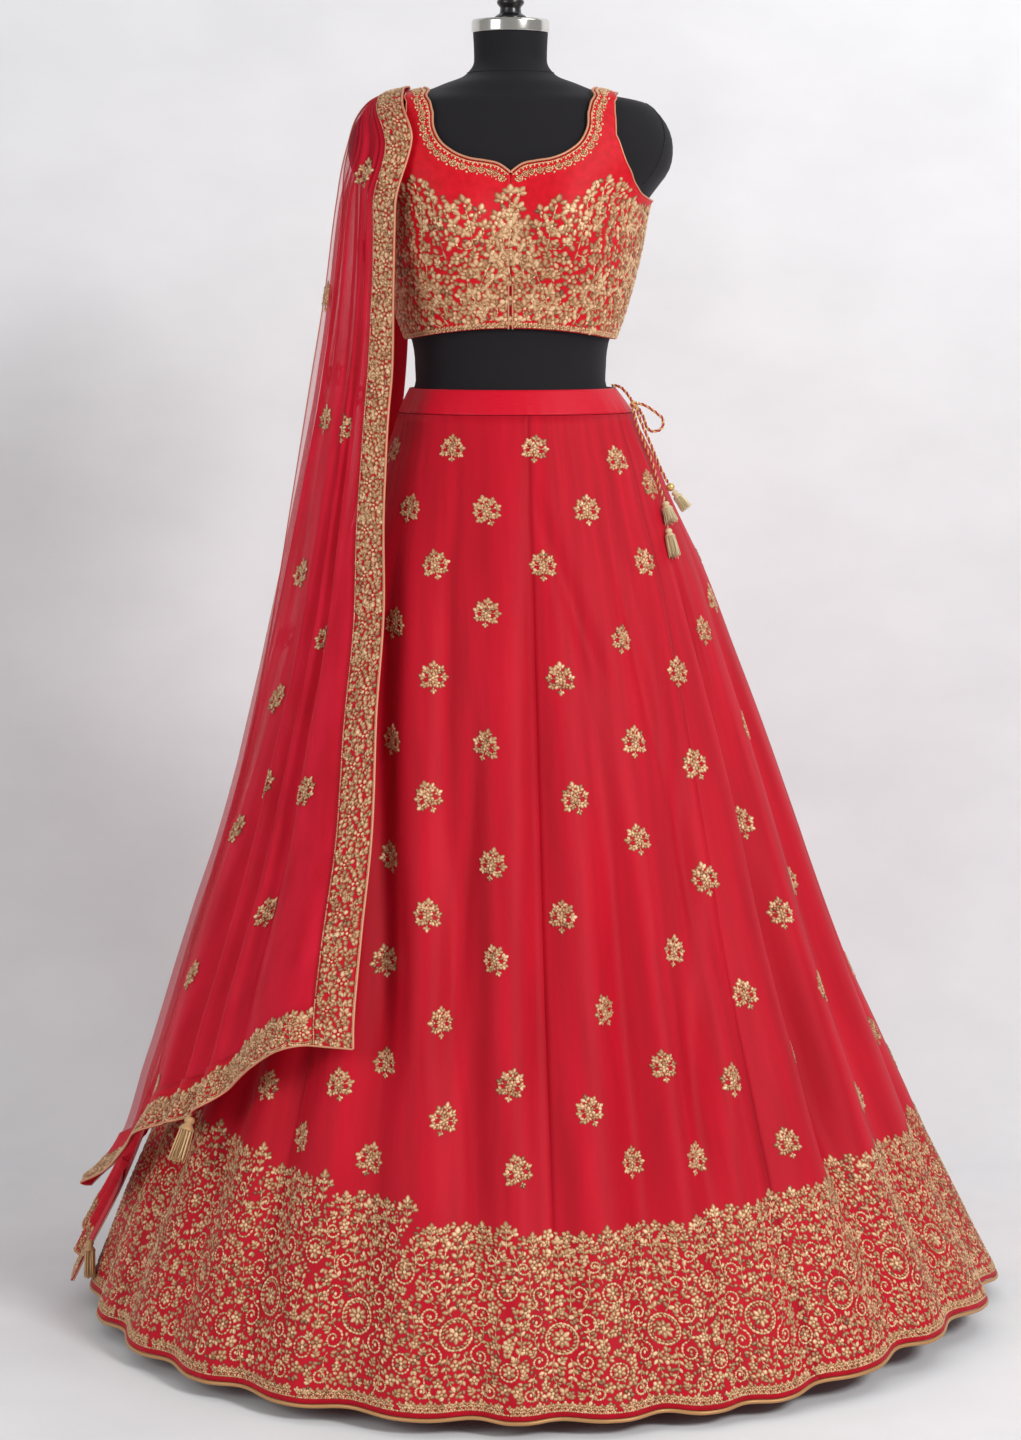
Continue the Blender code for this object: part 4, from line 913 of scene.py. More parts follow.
def frond(points, size, pairs):
    """A stem with a leaf on each side at even steps, and one at its tip."""
    p = np.array(points, float)
    run = together([0.0], np.cumsum(np.hypot(*np.diff(p, axis=0).T)))
    parts = [chain(p, 1.2, 0.0009, 0.55)]
    rows = []
    for pair in range(pairs):
        at = run[-1] * (pair + 0.6) / (pairs + 0.3)
        x, y = np.interp(at, run, p[:, 0]), np.interp(at, run, p[:, 1])
        ahead = min(at + 0.5, run[-1])
        dx, dy = (np.interp(ahead, run, p[:, k]) - np.interp(ahead - 1.0, run, p[:, k]) for k in (0, 1))
        way = np.degrees(np.arctan2(dy, dx))
        long = size * (1.0 - 0.25 * pair / max(pairs, 1))
        for lean in (FROND_LEAN, -FROND_LEAN):
            rows.append((x, y, way + lean, long, long * 0.48))
    d = p[-1] - p[-2]
    rows.append((p[-1, 0], p[-1, 1], np.degrees(np.arctan2(d[1], d[0])), size, size * 0.5))
    return np.concatenate(parts + [leaves(rows, 0.0012, 0.62)])


def sprig_motif(lean=0.0):
    """The scattered bush: buds crowded round a flower on a short stem, about 33 by 36 mm."""
    parts = [moved(blossom(5.8, 6), 0.0, 0.0)]
    buds = (
        (0.4, 12.2, 0, 6.6), (-7.0, 9.0, 38, 6.0), (7.6, 7.2, -40, 5.8), (-10.6, 1.8, 80, 6.0),
        (10.0, 0.6, -78, 5.6),
        (-8.2, -6.0, 112, 5.6), (8.4, -7.0, -112, 5.6), (-1.0, -12.6, 172, 4.6),
        (-3.8, 6.0, 25, 5.6), (4.2, 5.2, -25, 5.6), (-3.4, -5.6, 150, 5.0), (3.6, -6.0, -150, 5.0),
    )
    for x, y, turn, size in buds:
        reach = 1.0 + lean * y / 14.0
        parts.append(moved(trefoil(size), x * reach, y, turn))
        parts.append(chain(
            curve((0, 0), (0.45 * x, 0.65 * y), (0.86 * x * reach, 0.86 * y), 4), 1.0, 0.0009, 0.45
        ))
    return np.concatenate(parts)


SHADE_SPREAD = 0.16


def vary(stitches):
    """Stitches with small random changes of shade, angle and size, as handwork has."""
    out = stitches.copy()
    out[:, 6] = np.clip(out[:, 6] + RNG.normal(0.0, SHADE_SPREAD, len(out)), 0.05, 1.0)
    out[:, 2] += RNG.normal(0.0, 0.06, len(out))
    out[:, 3:5] *= RNG.uniform(0.92, 1.08, (len(out), 1))
    return out


WORK_LIFT = 0.00010  # how far the stitches' undersides stand over the cloth


def worked(name, surface, groups, material, rich=True):
    """One mesh of all the stitches. groups holds (u, v, stitches), placed by metres from each start."""
    points, faces, shades_with_painted_light, total = [], [], [], 0
    for u0, v0, stitches in groups:
        if not len(stitches):
            continue
        a, b, h, shade_with_painted_light, every = spread(vary(stitches), rich)
        u, v = surface.shift(u0, v0, a, b)
        p = surface.read(u, v, h + WORK_LIFT)
        points.append(p.reshape(-1, 3))
        shades_with_painted_light.append(shade_with_painted_light.ravel())
        faces.append(every + total)
        total += p.shape[0] * p.shape[1]
    every = np.concatenate(faces)
    if surface.flip:
        every = every[:, ::-1]
    return make_mesh(name, np.concatenate(points), [every], material, shade=np.concatenate(shades_with_painted_light))


# Materials.

def srgb(red, green, blue):
    c = np.array([red, green, blue]) / 255.0
    return tuple(np.where(c <= 0.04045, c / 12.92, ((c + 0.055) / 1.055) ** 2.4)) + (1.0,)


class Look:
    """A node material with a Principled shader."""

    def __init__(
        self, name, roughness=0.5, metallic=0.0, sheen=0.0, tint=(1.0, 1.0, 1.0, 1.0), specular=0.5
    ):
        self.material = bpy.data.materials.new(name)
        self.material.use_nodes = True
        self.tree = self.material.node_tree
        self.shader = self.tree.nodes["Principled BSDF"]
        self.put(self.shader, "Roughness", roughness)
        self.put(self.shader, "Metallic", metallic)
        self.put(self.shader, "Sheen Weight", sheen)
        self.put(self.shader, "Sheen Tint", tint)
        self.put(self.shader, "Specular IOR Level", specular)

    def put(self, node, key, value):
        node.inputs[key].default_value = value

    def node(self, kind, **values):
        made = self.tree.nodes.new(kind)
        for key, value in values.items():
            setattr(made, key, value)
        return made

    def link(self, a, b):
        self.tree.links.new(a, b)

    def noise(self, scale, detail=3.0, stretch=None, source="Object"):
        place = self.node("ShaderNodeTexCoord")
        out = place.outputs[source]
        if stretch is not None:
            shape = self.node("ShaderNodeMapping")
            shape.inputs["Scale"].default_value = stretch
            self.link(out, shape.inputs["Vector"])
            out = shape.outputs["Vector"]
        texture = self.node("ShaderNodeTexNoise")
        self.put(texture, "Scale", scale)
        self.put(texture, "Detail", detail)
        self.link(out, texture.inputs["Vector"])
        return texture.outputs["Fac"]

    def ramp(self, value, stops):
        ramp_node = self.node("ShaderNodeValToRGB")
        bar = ramp_node.color_ramp
        while len(bar.elements) < len(stops):
            bar.elements.new(0.5)
        for element, (at, colour) in zip(bar.elements, stops):
            element.position = at
            element.color = colour
        self.link(value, ramp_node.inputs["Fac"])
        return ramp_node.outputs["Color"]

    def attribute(self, name):
        return self.node("ShaderNodeAttribute", attribute_name=name).outputs["Fac"]

    def bump(self, height, strength, distance):
        made = self.node("ShaderNodeBump")
        self.put(made, "Strength", strength)
        self.put(made, "Distance", distance)
        self.link(height, made.inputs["Height"])
        self.link(made.outputs["Normal"], self.shader.inputs["Normal"])

    def colour(self, out):
        self.link(out, self.shader.inputs["Base Color"])


def fabric(name, low, high, roughness, sheen, tint, stretch):
    """A woven cloth: its colour drifts between two reds and its surface has a fine grain."""
    look = Look(name, roughness, 0.0, sheen, tint, 0.18)
    look.colour(look.ramp(look.noise(1.0, 4.0, stretch, "UV"), ((0.30, low), (0.70, high))))
    look.bump(look.noise(900.0, 2.0), 0.15, 0.0004)
    return look.material


def thread(name, dark, middle, light, metallic, roughness):
    look = Look(name, roughness, metallic, 0.10, (1.0, 0.9, 0.7, 1.0), 0.5)
    # The shade attribute picks the colour from dark to light: the thread's own random tone, with painted
    # highlight on each stitch's crest and painted shade at its edge.
    look.colour(look.ramp(look.attribute("shade"), ((0.0, dark), (0.55, middle), (1.0, light))))
    look.bump(look.noise(1400.0, 2.0), 0.25, 0.0004)
    return look.material


RED_TINT = (1.0, 0.45, 0.50, 1.0)
SKIRT_RED = fabric("skirt_red", srgb(170, 4, 27), srgb(196, 8, 37), 0.62, 0.06, RED_TINT, (3.0, 5.0, 1.0))
CHOLI_RED = fabric(
    "choli_red", srgb(190, 6, 24), srgb(212, 12, 34), 0.50, 0.05, RED_TINT, (20.0, 20.0, 1.0)
)
BAND_RED = fabric("band_red", srgb(196, 8, 34), srgb(210, 14, 44), 0.42, 0.08, RED_TINT, (4.0, 60.0, 1.0))
BORDER_RED = fabric(
    "border_red", srgb(184, 8, 28), srgb(204, 10, 38), 0.60, 0.05, RED_TINT, (6.0, 40.0, 1.0)
)
GOLD = thread("gold_thread", srgb(96, 50, 26), srgb(184, 132, 88), srgb(236, 200, 158), 0.20, 0.46)
PALE_GOLD = thread("tassel_beige", srgb(150, 122, 84), srgb(206, 184, 142), srgb(238, 222, 186), 0.12, 0.50)
OLD_GOLD = thread("tassel_gold", srgb(116, 78, 42), srgb(190, 146, 98), srgb(230, 196, 148), 0.12, 0.50)


def plain(name, colour, roughness, metallic=0.0, sheen=0.0, specular=0.5):
    look = Look(name, roughness, metallic, sheen, colour, specular)
    look.put(look.shader, "Base Color", colour)
    return look


PIPING_GOLD = plain("piping_gold", srgb(206, 142, 108), 0.45, 0.25).material
HEM_GOLD = plain("hem_gold", srgb(186, 138, 88), 0.45, 0.35).material
CORD_GOLD = plain("cord_gold", srgb(214, 172, 112), 0.42, 0.25).material
CORD_RED = plain("cord_red", srgb(176, 34, 40), 0.55).material
BEAD_GOLD = plain("bead_gold", srgb(220, 184, 118), 0.34, 0.6).material
CHROME = plain("cap_chrome", srgb(214, 210, 204), 0.16, 1.0).material
BLACK_GLOSS = plain("finial_black", srgb(20, 18, 20), 0.28).material
STAND = plain("stand_black", srgb(44, 42, 44), 0.38, 0.6).material


def form_black():
    look = plain("form_jersey", srgb(24, 22, 26), 0.80, 0.0, 0.08, 0.20)
    look.put(look.shader, "Sheen Tint", (0.8, 0.8, 0.9, 1.0))
    look.bump(look.noise(1100.0, 2.0), 0.30, 0.0004)
    return look.material


FORM_BLACK = form_black()


def net_material():
    """Fine red net: the cover value says how much of it hides what is behind."""
    look = Look("dupatta_net", 0.60, 0.0, 0.08, RED_TINT, 0.15)
    look.colour(look.ramp(
        look.noise(1.0, 4.0, (2.0, 3.0, 1.0), "UV"),
        ((0.3, srgb(202, 14, 40)), (0.7, srgb(230, 27, 58)))
    ))
    clear = look.node("ShaderNodeBsdfTransparent")
    glow = look.node("ShaderNodeBsdfTranslucent")
    look.put(glow, "Color", srgb(214, 36, 62))
    cloth = look.node("ShaderNodeMixShader")
    look.put(cloth, "Fac", 0.22)
    look.link(look.shader.outputs["BSDF"], cloth.inputs[1])
    look.link(glow.outputs["BSDF"], cloth.inputs[2])
    blend = look.node("ShaderNodeMixShader")
    look.link(look.attribute("cover"), blend.inputs["Fac"])
    look.link(clear.outputs["BSDF"], blend.inputs[1])
    look.link(cloth.outputs["Shader"], blend.inputs[2])
    end = look.tree.nodes["Material Output"]
    look.link(blend.outputs["Shader"], end.inputs["Surface"])
    return look.material


NET_RED = net_material()


def piece(made, slot, *nodes):
    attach(made, "root")
    if nodes:
        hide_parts(*nodes)
    return made


# The form and its stand.

FORM_SIDES = 96
FORM_TOP, FORM_FOOT = 1.4225, 0.7920
# The rounded underside of the torso: share of the last ring's width, and depth below it.
FORM_UNDER = ((0.97, 0.004), (0.90, 0.007), (0.80, 0.008))


def build_form():
    heights = together(np.linspace(FORM_TOP, 1.3420, 46), np.linspace(1.3400, 0.8000, 66))
    tt, hh = np.meshgrid(np.arange(FORM_SIDES) * TAU / FORM_SIDES, heights)
    points = form_ring(tt, hh)
    under = [points[-1] * np.array([s, s, 1.0]) - np.array([0.0, 0.0, d]) for s, d in FORM_UNDER]
    points = together(points, np.array(under))
    rows = len(points)
    middle = np.array([[0.0, 0.0, FORM_TOP], [0.0, 0.0, FORM_FOOT]])
    k = np.arange(FORM_SIDES)
    ahead = (k + 1) % FORM_SIDES
    last = (rows - 1) * FORM_SIDES
    n = rows * FORM_SIDES
    caps = together(
        np.stack([k, ahead, np.full(FORM_SIDES, n)], -1),
        np.stack([last + ahead, last + k, np.full(FORM_SIDES, n + 1)], -1),
    )
    sides = quads(FORM_SIDES, rows, closed=True)[:, ::-1]
    made = make_mesh("form_body", together(points.reshape(-1, 3), middle), [sides, caps], FORM_BLACK)
    made.data.set_sharp_from_angle(angle=np.radians(50.0))
    piece(made, "form_cloth", "form_torso")
    turn = np.linspace(0.0, TAU, 121)[:-1]
    seams = [pipe(off_form(turn, np.full(120, 1.3790), 0.0001), 0.0006, 5, closed=True)]
    for side in (1.0, -1.0):
        at = np.linspace(0.0, 1.0, 40)
        angle = np.radians(mix(62.0, 118.0, at)) * side
        height = 1.2560 + 0.0900 * np.sin(np.pi * at) ** 0.8
        seams.append(pipe(off_form(angle, height, 0.0001), 0.0005, 5))
    points, faces = gather(seams)
    piece(make_mesh("form_seams", points, [faces], FORM_BLACK), "form_cloth")
    piece(turned("form_neck_cap", rounded(CAP_PROFILE), 64, CHROME), "neck_cap_chrome", "neck_cap")
    piece(
        turned("form_finial", rounded(FINIAL_PROFILE, 7, 0.48), 48, BLACK_GLOSS), "finial_black",
        "finial"
    )
    piece(turned("form_pole", rounded(POLE_PROFILE), 40, STAND), "stand_metal", "stand_pole")
    piece(turned("form_base", rounded(BASE_PROFILE), 96, STAND), "stand_metal", "stand_base")


# The choli.

CHOLI_CLOTH = 0.0011
CHOLI_FACE = 0.0002  # depth of the silk's outside below the solid's
BACK_STRAP_ARM, BACK_STRAP_NECK = 141.0, 149.0  # degrees from the front of the back strap's two edges
STRAP_MARKS = {"front": (STRAP_FIRST, STRAP_LAST), "back": (BACK_STRAP_ARM, BACK_STRAP_NECK)}


def choli_cut(top, strap, marks, rows=34, strap_steps=26):
    """Angles and heights of a panel's points, and its quads."""
    edges = column(top, "angle")
    at = np.unique(np.round(
        np.concatenate([np.linspace(a, b, 6) for a, b in zip(edges[:-1], edges[1:])]), 6
    ))
    peak = smooth(top, "angle", "height", at)
    angle = np.repeat(np.radians(at)[None], rows, 0)
    u = np.linspace(0.0, 1.0, rows)[:, None]
    height = mix(hem_height(angle), peak[None], u)
    faces = [quads(len(at), rows)]
    foot = np.where((at > marks[0] - 0.01) & (at < marks[1] + 0.01))[0]
    along = np.linspace(0.0, 1.0, strap_steps)[1:]
    names = ("neck_angle", "neck_height", "arm_angle", "arm_height")
    neck_a, neck_h, arm_a, arm_h = (smooth(strap, "along", name, along)[:, None] for name in names)
    share = ((at[foot] - at[foot[0]]) / (at[foot[-1]] - at[foot[0]]))[None]
    if edges[0] > 80.0:
        share = 1.0 - share
    strap_angle = np.radians(mix(neck_a, arm_a, share))
    strap_height = mix(neck_h, arm_h, share)
    wide = len(foot)
    total = rows * len(at)
    first = (rows - 1) * len(at) + foot
    index = together(first[None], total + np.arange(wide * len(along)).reshape(len(along), wide))
    faces.append(
        np.stack(
            [index[:-1, :-1], index[:-1, 1:], index[1:, 1:], index[1:, :-1]], -1
        ).reshape(-1, 4)
    )
    return together(angle.ravel(), strap_angle.ravel()), together(
        height.ravel(), strap_height.ravel()
    ), np.concatenate(faces)


def choli_sheet(name, angle, height, faces, side, node):
    outer, inner = (
        off_form(angle, height, choli_out(height) + CHOLI_WALL - gap)
        for gap in (CHOLI_FACE, CHOLI_FACE + CHOLI_CLOTH)
    )
    for points in (outer, inner):
        if side:
            points[:, 0] = np.maximum(points[:, 0], front_slit(height)) * side
            points[:, 1] = np.minimum(points[:, 1], -0.5 * SEAM_GAP)
        else:
            points[:, 1] = np.maximum(points[:, 1], 0.5 * SEAM_GAP)
    faces = face_out(faces, outer, outer - inner)
    made = thin(name, outer, inner, faces, CHOLI_RED, flow=np.stack([angle, height * 6.0], -1))
    return piece(made, "choli_silk", node)


def choli_surface(low, high):
    angle = np.radians(np.linspace(low, high, int((high - low) * 1.5) + 1))
    height = np.linspace(1.078, 1.3585, 150)
    aa, hh = np.meshgrid(angle, height)
    return Surface(
        angle, height, off_form(aa, hh, choli_out(hh) + CHOLI_WALL - CHOLI_FACE),
        form_normal(aa, hh)
    )


def edge_line(top, strap, end, which, count=60):
    """The neck or arm edge as angles and heights: along the panel's top, then along the strap."""
    marks = column(top, "angle")
    start = {"neck": marks[0] if marks[0] < 80 else marks[-1], "arm": 90.0}[which]
    at = np.linspace(start, end, count)
    high = smooth(top, "angle", "height", at)
    along = np.linspace(0.0, 1.0, count)[1:]
    return (
        np.radians(together(at, smooth(strap, "along", which + "_angle", along))),
        together(high, smooth(strap, "along", which + "_height", along)),
    )


EDGE_LOW, EDGE_HIGH = 1.078, 1.3600  # heights that a worked band keeps between
EDGE_STEPS, EDGE_ROWS = 140, 14


def edge_band(angle, height, side, width):
    """The strip of cloth beside an edge line, as a surface of run along it and way in from it."""
    line = off_form(angle, height, choli_out(height) + CHOLI_WALL - CHOLI_FACE)
    run = run_along(line)
    even = np.linspace(0.0, run[-1], EDGE_STEPS)
    angle, height = np.interp(even, run, angle), np.interp(even, run, height)
    step = 1e-4
    outs = choli_out(height) + CHOLI_WALL
    line = off_form(angle, height, outs)
    by_angle = (off_form(angle + step, height, outs) - line) / step
    by_height = (off_form(angle, height - step, outs) - line) / -step
    normal = form_normal(angle, height)
    way = np.gradient(line, axis=0)
    way = unit(way)
    inward = np.cross(normal, way)
    inward = unit(inward)
    down = inward * np.sign(inward[:, 2:3] * -1.0 + 1e-9)
    for k in range(1, len(down)):
        if np.dot(down[k], down[k - 1]) < 0:
            down[k] = -down[k]
    reach = np.linspace(-0.001, width, EDGE_ROWS)
    gram = np.stack(
        [np.sum(by_angle ** 2, 1), np.sum(by_angle * by_height, 1), np.sum(by_height ** 2, 1)], -1
    )
    right = np.stack([np.sum(by_angle * down, 1), np.sum(by_height * down, 1)], -1)
    det = gram[:, 0] * gram[:, 2] - gram[:, 1] ** 2
    da = (gram[:, 2] * right[:, 0] - gram[:, 1] * right[:, 1]) / det
    dh = (gram[:, 0] * right[:, 1] - gram[:, 1] * right[:, 0]) / det
    aa = angle[None] + da[None] * reach[:, None]
    hh = np.clip(height[None] + dh[None] * reach[:, None], EDGE_LOW, EDGE_HIGH)
    points = off_form(aa, hh, choli_out(hh) + CHOLI_WALL - CHOLI_FACE)
    normals = form_normal(aa, hh)
    if side < 0:
        points[..., 0] *= -1.0
        normals[..., 0] *= -1.0
    return Surface(even, reach, points, normals)


# How high the choli's field of motifs reaches, by angle from the front.
FIELD_TOP = (("angle", "height"), (
    (0.0, 1.2260), (8.0, 1.2180), (20.0, 1.2260), (30.0, 1.2420), (36.0, 1.2660), (42.0, 1.2640),
    (50.0, 1.2500), (60.0, 1.2400), (90.0, 1.2340), (130.0, 1.2360), (180.0, 1.2340),
))


def centres(stitches):
    """The middle of each stitch, in millimetres, and half its length."""
    half = stitches[:, 3] * 0.5
    x = stitches[:, 0] + np.cos(stitches[:, 2]) * half
    y = stitches[:, 1] + np.sin(stitches[:, 2]) * half
    return np.stack([x, y], -1) * 1e3, half * 1e3


def spray():
    """Two leaves and a tip on a short stem."""
    stem = chain([(0, -4.6), (0.4, -1.5), (0, 1.0)], 1.0, 0.0009, 0.5)
    return together(
        stem,
        leaves(
            [
                (0, -3.4, 150, 5.0, 2.7), (0, -2.6, 30, 5.0, 2.7), (0, 0.4, 90, 5.6, 2.9),
                (0, -0.4, 140, 4.6, 2.5), (0, -0.4, 40, 4.6, 2.5)
            ],
            0.0013, 0.6
        )
    )


def pair_of_leaves():
    return leaves([(-0.4, -2.6, 96, 6.0, 3.0), (0.6, -2.6, 52, 5.6, 2.8)], 0.0012, 0.55)


FILLERS = (("reach", "tries"), ((7.4, 1300), (5.8, 1700), (4.4, 2200), (3.1, 1500)))


def fill(stitches, low, high, wrap=0.0, inside=None, levels=(0, 1, 2, 3), size=1.0, room_share=1.0):
    """Smaller and smaller motifs in the gaps that a motif field leaves; wrap is its repeat in x."""
    spots, half = centres(stitches)
    reach = np.minimum(half, 2.2)
    parts = [stitches]
    makers = (
        lambda: blossom(6.2, 5, RNG.uniform(0, 72)), spray, pair_of_leaves,
        lambda: leaves([(-2.2, 0, 0, 4.4, 2.6)], 0.0011, 0.5)
    )
    for level, (room, tries) in enumerate(FILLERS[1]):
        if level not in levels:
            continue
        room = room * room_share
        for _ in range(tries):
            x, y = RNG.uniform(low[0], high[0]), RNG.uniform(low[1], high[1])
            if inside is not None and not inside(x, y):
                continue
            dx = np.abs(spots[:, 0] - x)
            if wrap:
                dx = np.minimum(dx, wrap - dx)
            if len(spots) and np.min(np.hypot(dx, spots[:, 1] - y) - reach) < room - 1.6:
                continue
            turn = RNG.uniform(-60.0, 60.0) if level < 2 else RNG.uniform(0.0, 360.0)
            added = moved(makers[level](), x, y, turn, size)
            parts.append(added)
            more, long = centres(added)
            spots = together(spots, more)
            reach = together(reach, np.minimum(long, 2.2))
    return np.concatenate(parts)


def plume(height, wide=1.0):
    """A tall spray of broad curling leaves that ends in a pointed bud."""
    sway = RNG.uniform(-5.0, 5.0)
    stem = curve((0, 0), (sway, height * 0.5), (0, height * 0.86), 9)
    parts = [
        chain(stem, 1.6, 0.0011, 0.6), moved(trefoil(9.5), 0, height * 0.90),
        leaves([(0, height * 0.92, 90, 8.5, 4.4)], 0.0015, 0.7)
    ]
    side = 1
    for share in (0.08, 0.24, 0.40, 0.56, 0.70):
        x, y = np.interp(height * share, stem[:, 1], stem[:, 0]), height * share
        out = side * wide * (17.0 - 9.0 * share) * RNG.uniform(0.85, 1.15)
        tip = (x + out, y + RNG.uniform(5.0, 10.0))
        arm = curve((x, y), (x + out * 0.9, y - 3.0), tip, 6)
        parts.append(chain(arm, 1.5, 0.0011, 0.6))
        parts.append(moved(trefoil(8.6), tip[0], tip[1] + 1.0, -side * 30.0))
        way = 90.0 - side * 62.0
        parts.append(leaves(
            [
                (x + out * 0.45, y - 0.4, way + side * 30.0, 8.6, 4.2),
                (x + out * 0.45, y - 0.4, way - side * 75.0, 7.4, 3.8),
                (x - side * 0.5, y + 2.0, 90.0 + side * 48.0, 8.4, 4.2),
                (x - side * 5.5, y + 5.5, 90.0 + side * 10.0, 6.4, 3.6)
            ],
            0.0014, 0.62
        ))
        side = -side
    parts.append(moved(blossom(6.4, 6), 0, height * 0.48))
    return np.concatenate(parts)


CHOLI_REACH = 0.128  # radius at which an angle is turned into millimetres across
# Where the tall sprays stand on each front: millimetres from the centre, height of the foot in metres,
# height in millimetres, share of the full width, lean in degrees.
PLUMES = (("across", "foot", "tall", "wide", "lean"), (
    (17.0, 1.150, 56.0, 0.80, 12.0), (36.0, 1.184, 54.0, 0.95, -10.0), (44.0, 1.118, 62.0, 1.0, 22.0),
    (64.0, 1.176, 76.0, 1.0, -8.0), (74.0, 1.104, 60.0, 1.0, -24.0), (90.0, 1.196, 68.0, 0.9, 6.0),
    (104.0, 1.118, 62.0, 1.0, 16.0), (116.0, 1.190, 54.0, 1.0, -14.0), (134.0, 1.112, 60.0, 1.0, -12.0),
    (146.0, 1.184, 52.0, 1.0, 10.0), (162.0, 1.120, 60.0, 1.0, 14.0), (184.0, 1.180, 52.0, 1.0, -6.0),
    (20.0, 1.098, 50.0, 0.9, -28.0),
))


def choli_field(last, top_limit, rich):
    """All the worked motifs of one front, or of half the back, as stitches in millimetres across and up."""
    parts = []
    for across, foot, tall, wide, lean in PLUMES[1]:
        parts.append(moved(plume(tall, wide), across, foot * 1e3, lean))
    width = np.radians(last) * CHOLI_REACH * 1e3
    field = np.concatenate(parts)

    def inside(x, y, rim=0.0):
        angle = min(max(x, 0.0) / (CHOLI_REACH * 1e3), np.pi)
        low = hem_height(angle) * 1e3 + 7.5
        high = min(
            float(smooth(FIELD_TOP, "angle", "height", np.degrees(angle))),
            float(smooth(top_limit, "angle", "height", np.degrees(angle))) - 0.006
        ) * 1e3
        return 1.2 < x < width and low < y < high + rim

    def bare(x):
        """Just under the neck's worked band and the arm edge."""
        return float(smooth(
            top_limit, "angle", "height", np.degrees(min(max(x, 0.0) / (CHOLI_REACH * 1e3), np.pi))
        )) * 1e3 - 24.0 * float(ramp(-abs(x), -120.0, -60.0)) - 5.0

    spots, _ = centres(field)
    kept = np.array([inside(x, y, 16.0) and y < bare(x) for x, y in spots])
    field = field[kept]
    high = max(row[1] for row in FIELD_TOP[1]) * 1e3
    return fill(
        field, (0.0, 1082.0), (width, high), inside=inside, levels=(0, 1, 2, 3) if rich else (0, 1),
        size=1.22, room_share=0.92
    )


GROUP_CELL = 16.0  # millimetres of the choli's field that are placed together


def field_groups(field, side):
    """The field cut into small groups, each placed from its own middle so that it follows the cloth."""
    spots, _ = centres(field)
    groups = []
    cell = np.floor(spots / GROUP_CELL).astype(int)
    for key in sorted(set(map(tuple, cell))):
        chosen = field[(cell[:, 0] == key[0]) & (cell[:, 1] == key[1])].copy()
        x, y = (key[0] + 0.5) * GROUP_CELL, (key[1] + 0.5) * GROUP_CELL
        chosen[:, 0] -= x * 1e-3
        chosen[:, 1] -= y * 1e-3
        angle = x * 1e-3 / CHOLI_REACH
        groups.append((angle if side > 0 else -angle, y * 1e-3, moved(chosen, mirror=side < 0)))
    return groups


SIDES = ((1.0, "left"), (-1.0, "right"))
FRONT_FOOT_BLOSSOMS, BACK_FOOT_BLOSSOMS = 34, 26
# The two necklines: cut, strap, end angle, width of the worked band and length of one repeat of it.
FRONT_NECK = (FRONT_TOP, FRONT_STRAP, STRAP_FIRST, 0.018, 0.0094)
BACK_NECK = (BACK_TOP, BACK_STRAP, BACK_STRAP_NECK, 0.016, 0.0096)


def build_choli_cloth():
    """The two fronts and the back, each a thin shell with its own part of the straps."""
    angle, height, faces = choli_cut(FRONT_TOP, FRONT_STRAP, STRAP_MARKS["front"])
    for side, name in SIDES:
        choli_sheet("choli_cloth_" + name, angle, height, faces, side, "choli_front_" + name)
    angle, height, faces = choli_cut(BACK_TOP, BACK_STRAP, STRAP_MARKS["back"], 28, 24)
    keep = angle < np.pi - 1e-6
    other = np.full(len(angle), -1)
    other[keep] = len(angle) + np.arange(keep.sum())
    other[~keep] = np.where(~keep)[0]
    faces = together(faces, other[faces][:, ::-1])
    whole_angle = together(angle, -angle[keep])
    whole_height = together(height, height[keep])
    choli_sheet("choli_cloth_back", whole_angle, whole_height, faces, 0.0, "choli_back")


def front_neck_cell():
    """One arch of the front neckline's band, over a small flower."""
    turn = np.linspace(-0.15, np.pi + 0.15, 9)
    arch = np.stack([4.0 * np.cos(turn), 5.4 * np.sin(turn) + 7.6], -1)
    flower = moved(blossom(3.0, 5), 0, 8.4)
    return together(
        chain(arch, 1.5, 0.0012, 0.8), flower, bead(0, 3.6, 2.4), bead(4.6, 3.4, 1.9),
        bead(4.6, 14.2, 2.0)
    )


def back_neck_cell():
    return together(moved(blossom(3.8, 5), 0, 8.0), bead(4.7, 3.5, 2.0), bead(4.7, 13.0, 2.0))


def neck_work(name, neck, side, cell, rich):
    """The band along one half of a neckline: its repeats at even steps, and a corded line."""
    top, strap, end, width, step = neck
    angle, height = edge_line(top, strap, end, "neck")
    band = edge_band(angle, height, side, width)
    long = band.first[-1]
    count = int(long / step)
    trim = [((k + 0.5) * long / count, 0.0, cell()) for k in range(count)]
    stitch = [(0, 1.9), (2.2, 1.9)]
    trim += [(s, 0.0, chain(stitch, 1.3, 0.0011, 0.85)) for s in np.arange(0.001, long, 0.0021)]
    return worked(name, band, trim, GOLD, rich=rich)


def front_work(name, field, side, surface):
    """A front's field, a row of flowers on its hem and, at the wearer's left, two sprays on the edge."""
    groups = field_groups(field, side)
    for k in range(FRONT_FOOT_BLOSSOMS):
        angle = np.radians(1.6 + 87.6 * (k + 0.5) / FRONT_FOOT_BLOSSOMS) * side
        flower = together(blossom(3.2, 5), bead(3.4, 1.8, 2.0), bead(3.4, -1.8, 2.0))
        groups.append((angle, hem_height(angle) + 0.0036, flower))
    if side > 0:
        for foot, tall in ((1.152, 64.0), (1.196, 56.0)):
            groups.append((0.0, foot, plume(tall, 0.85)))
    return worked("choli_work_" + name, surface, groups, GOLD)


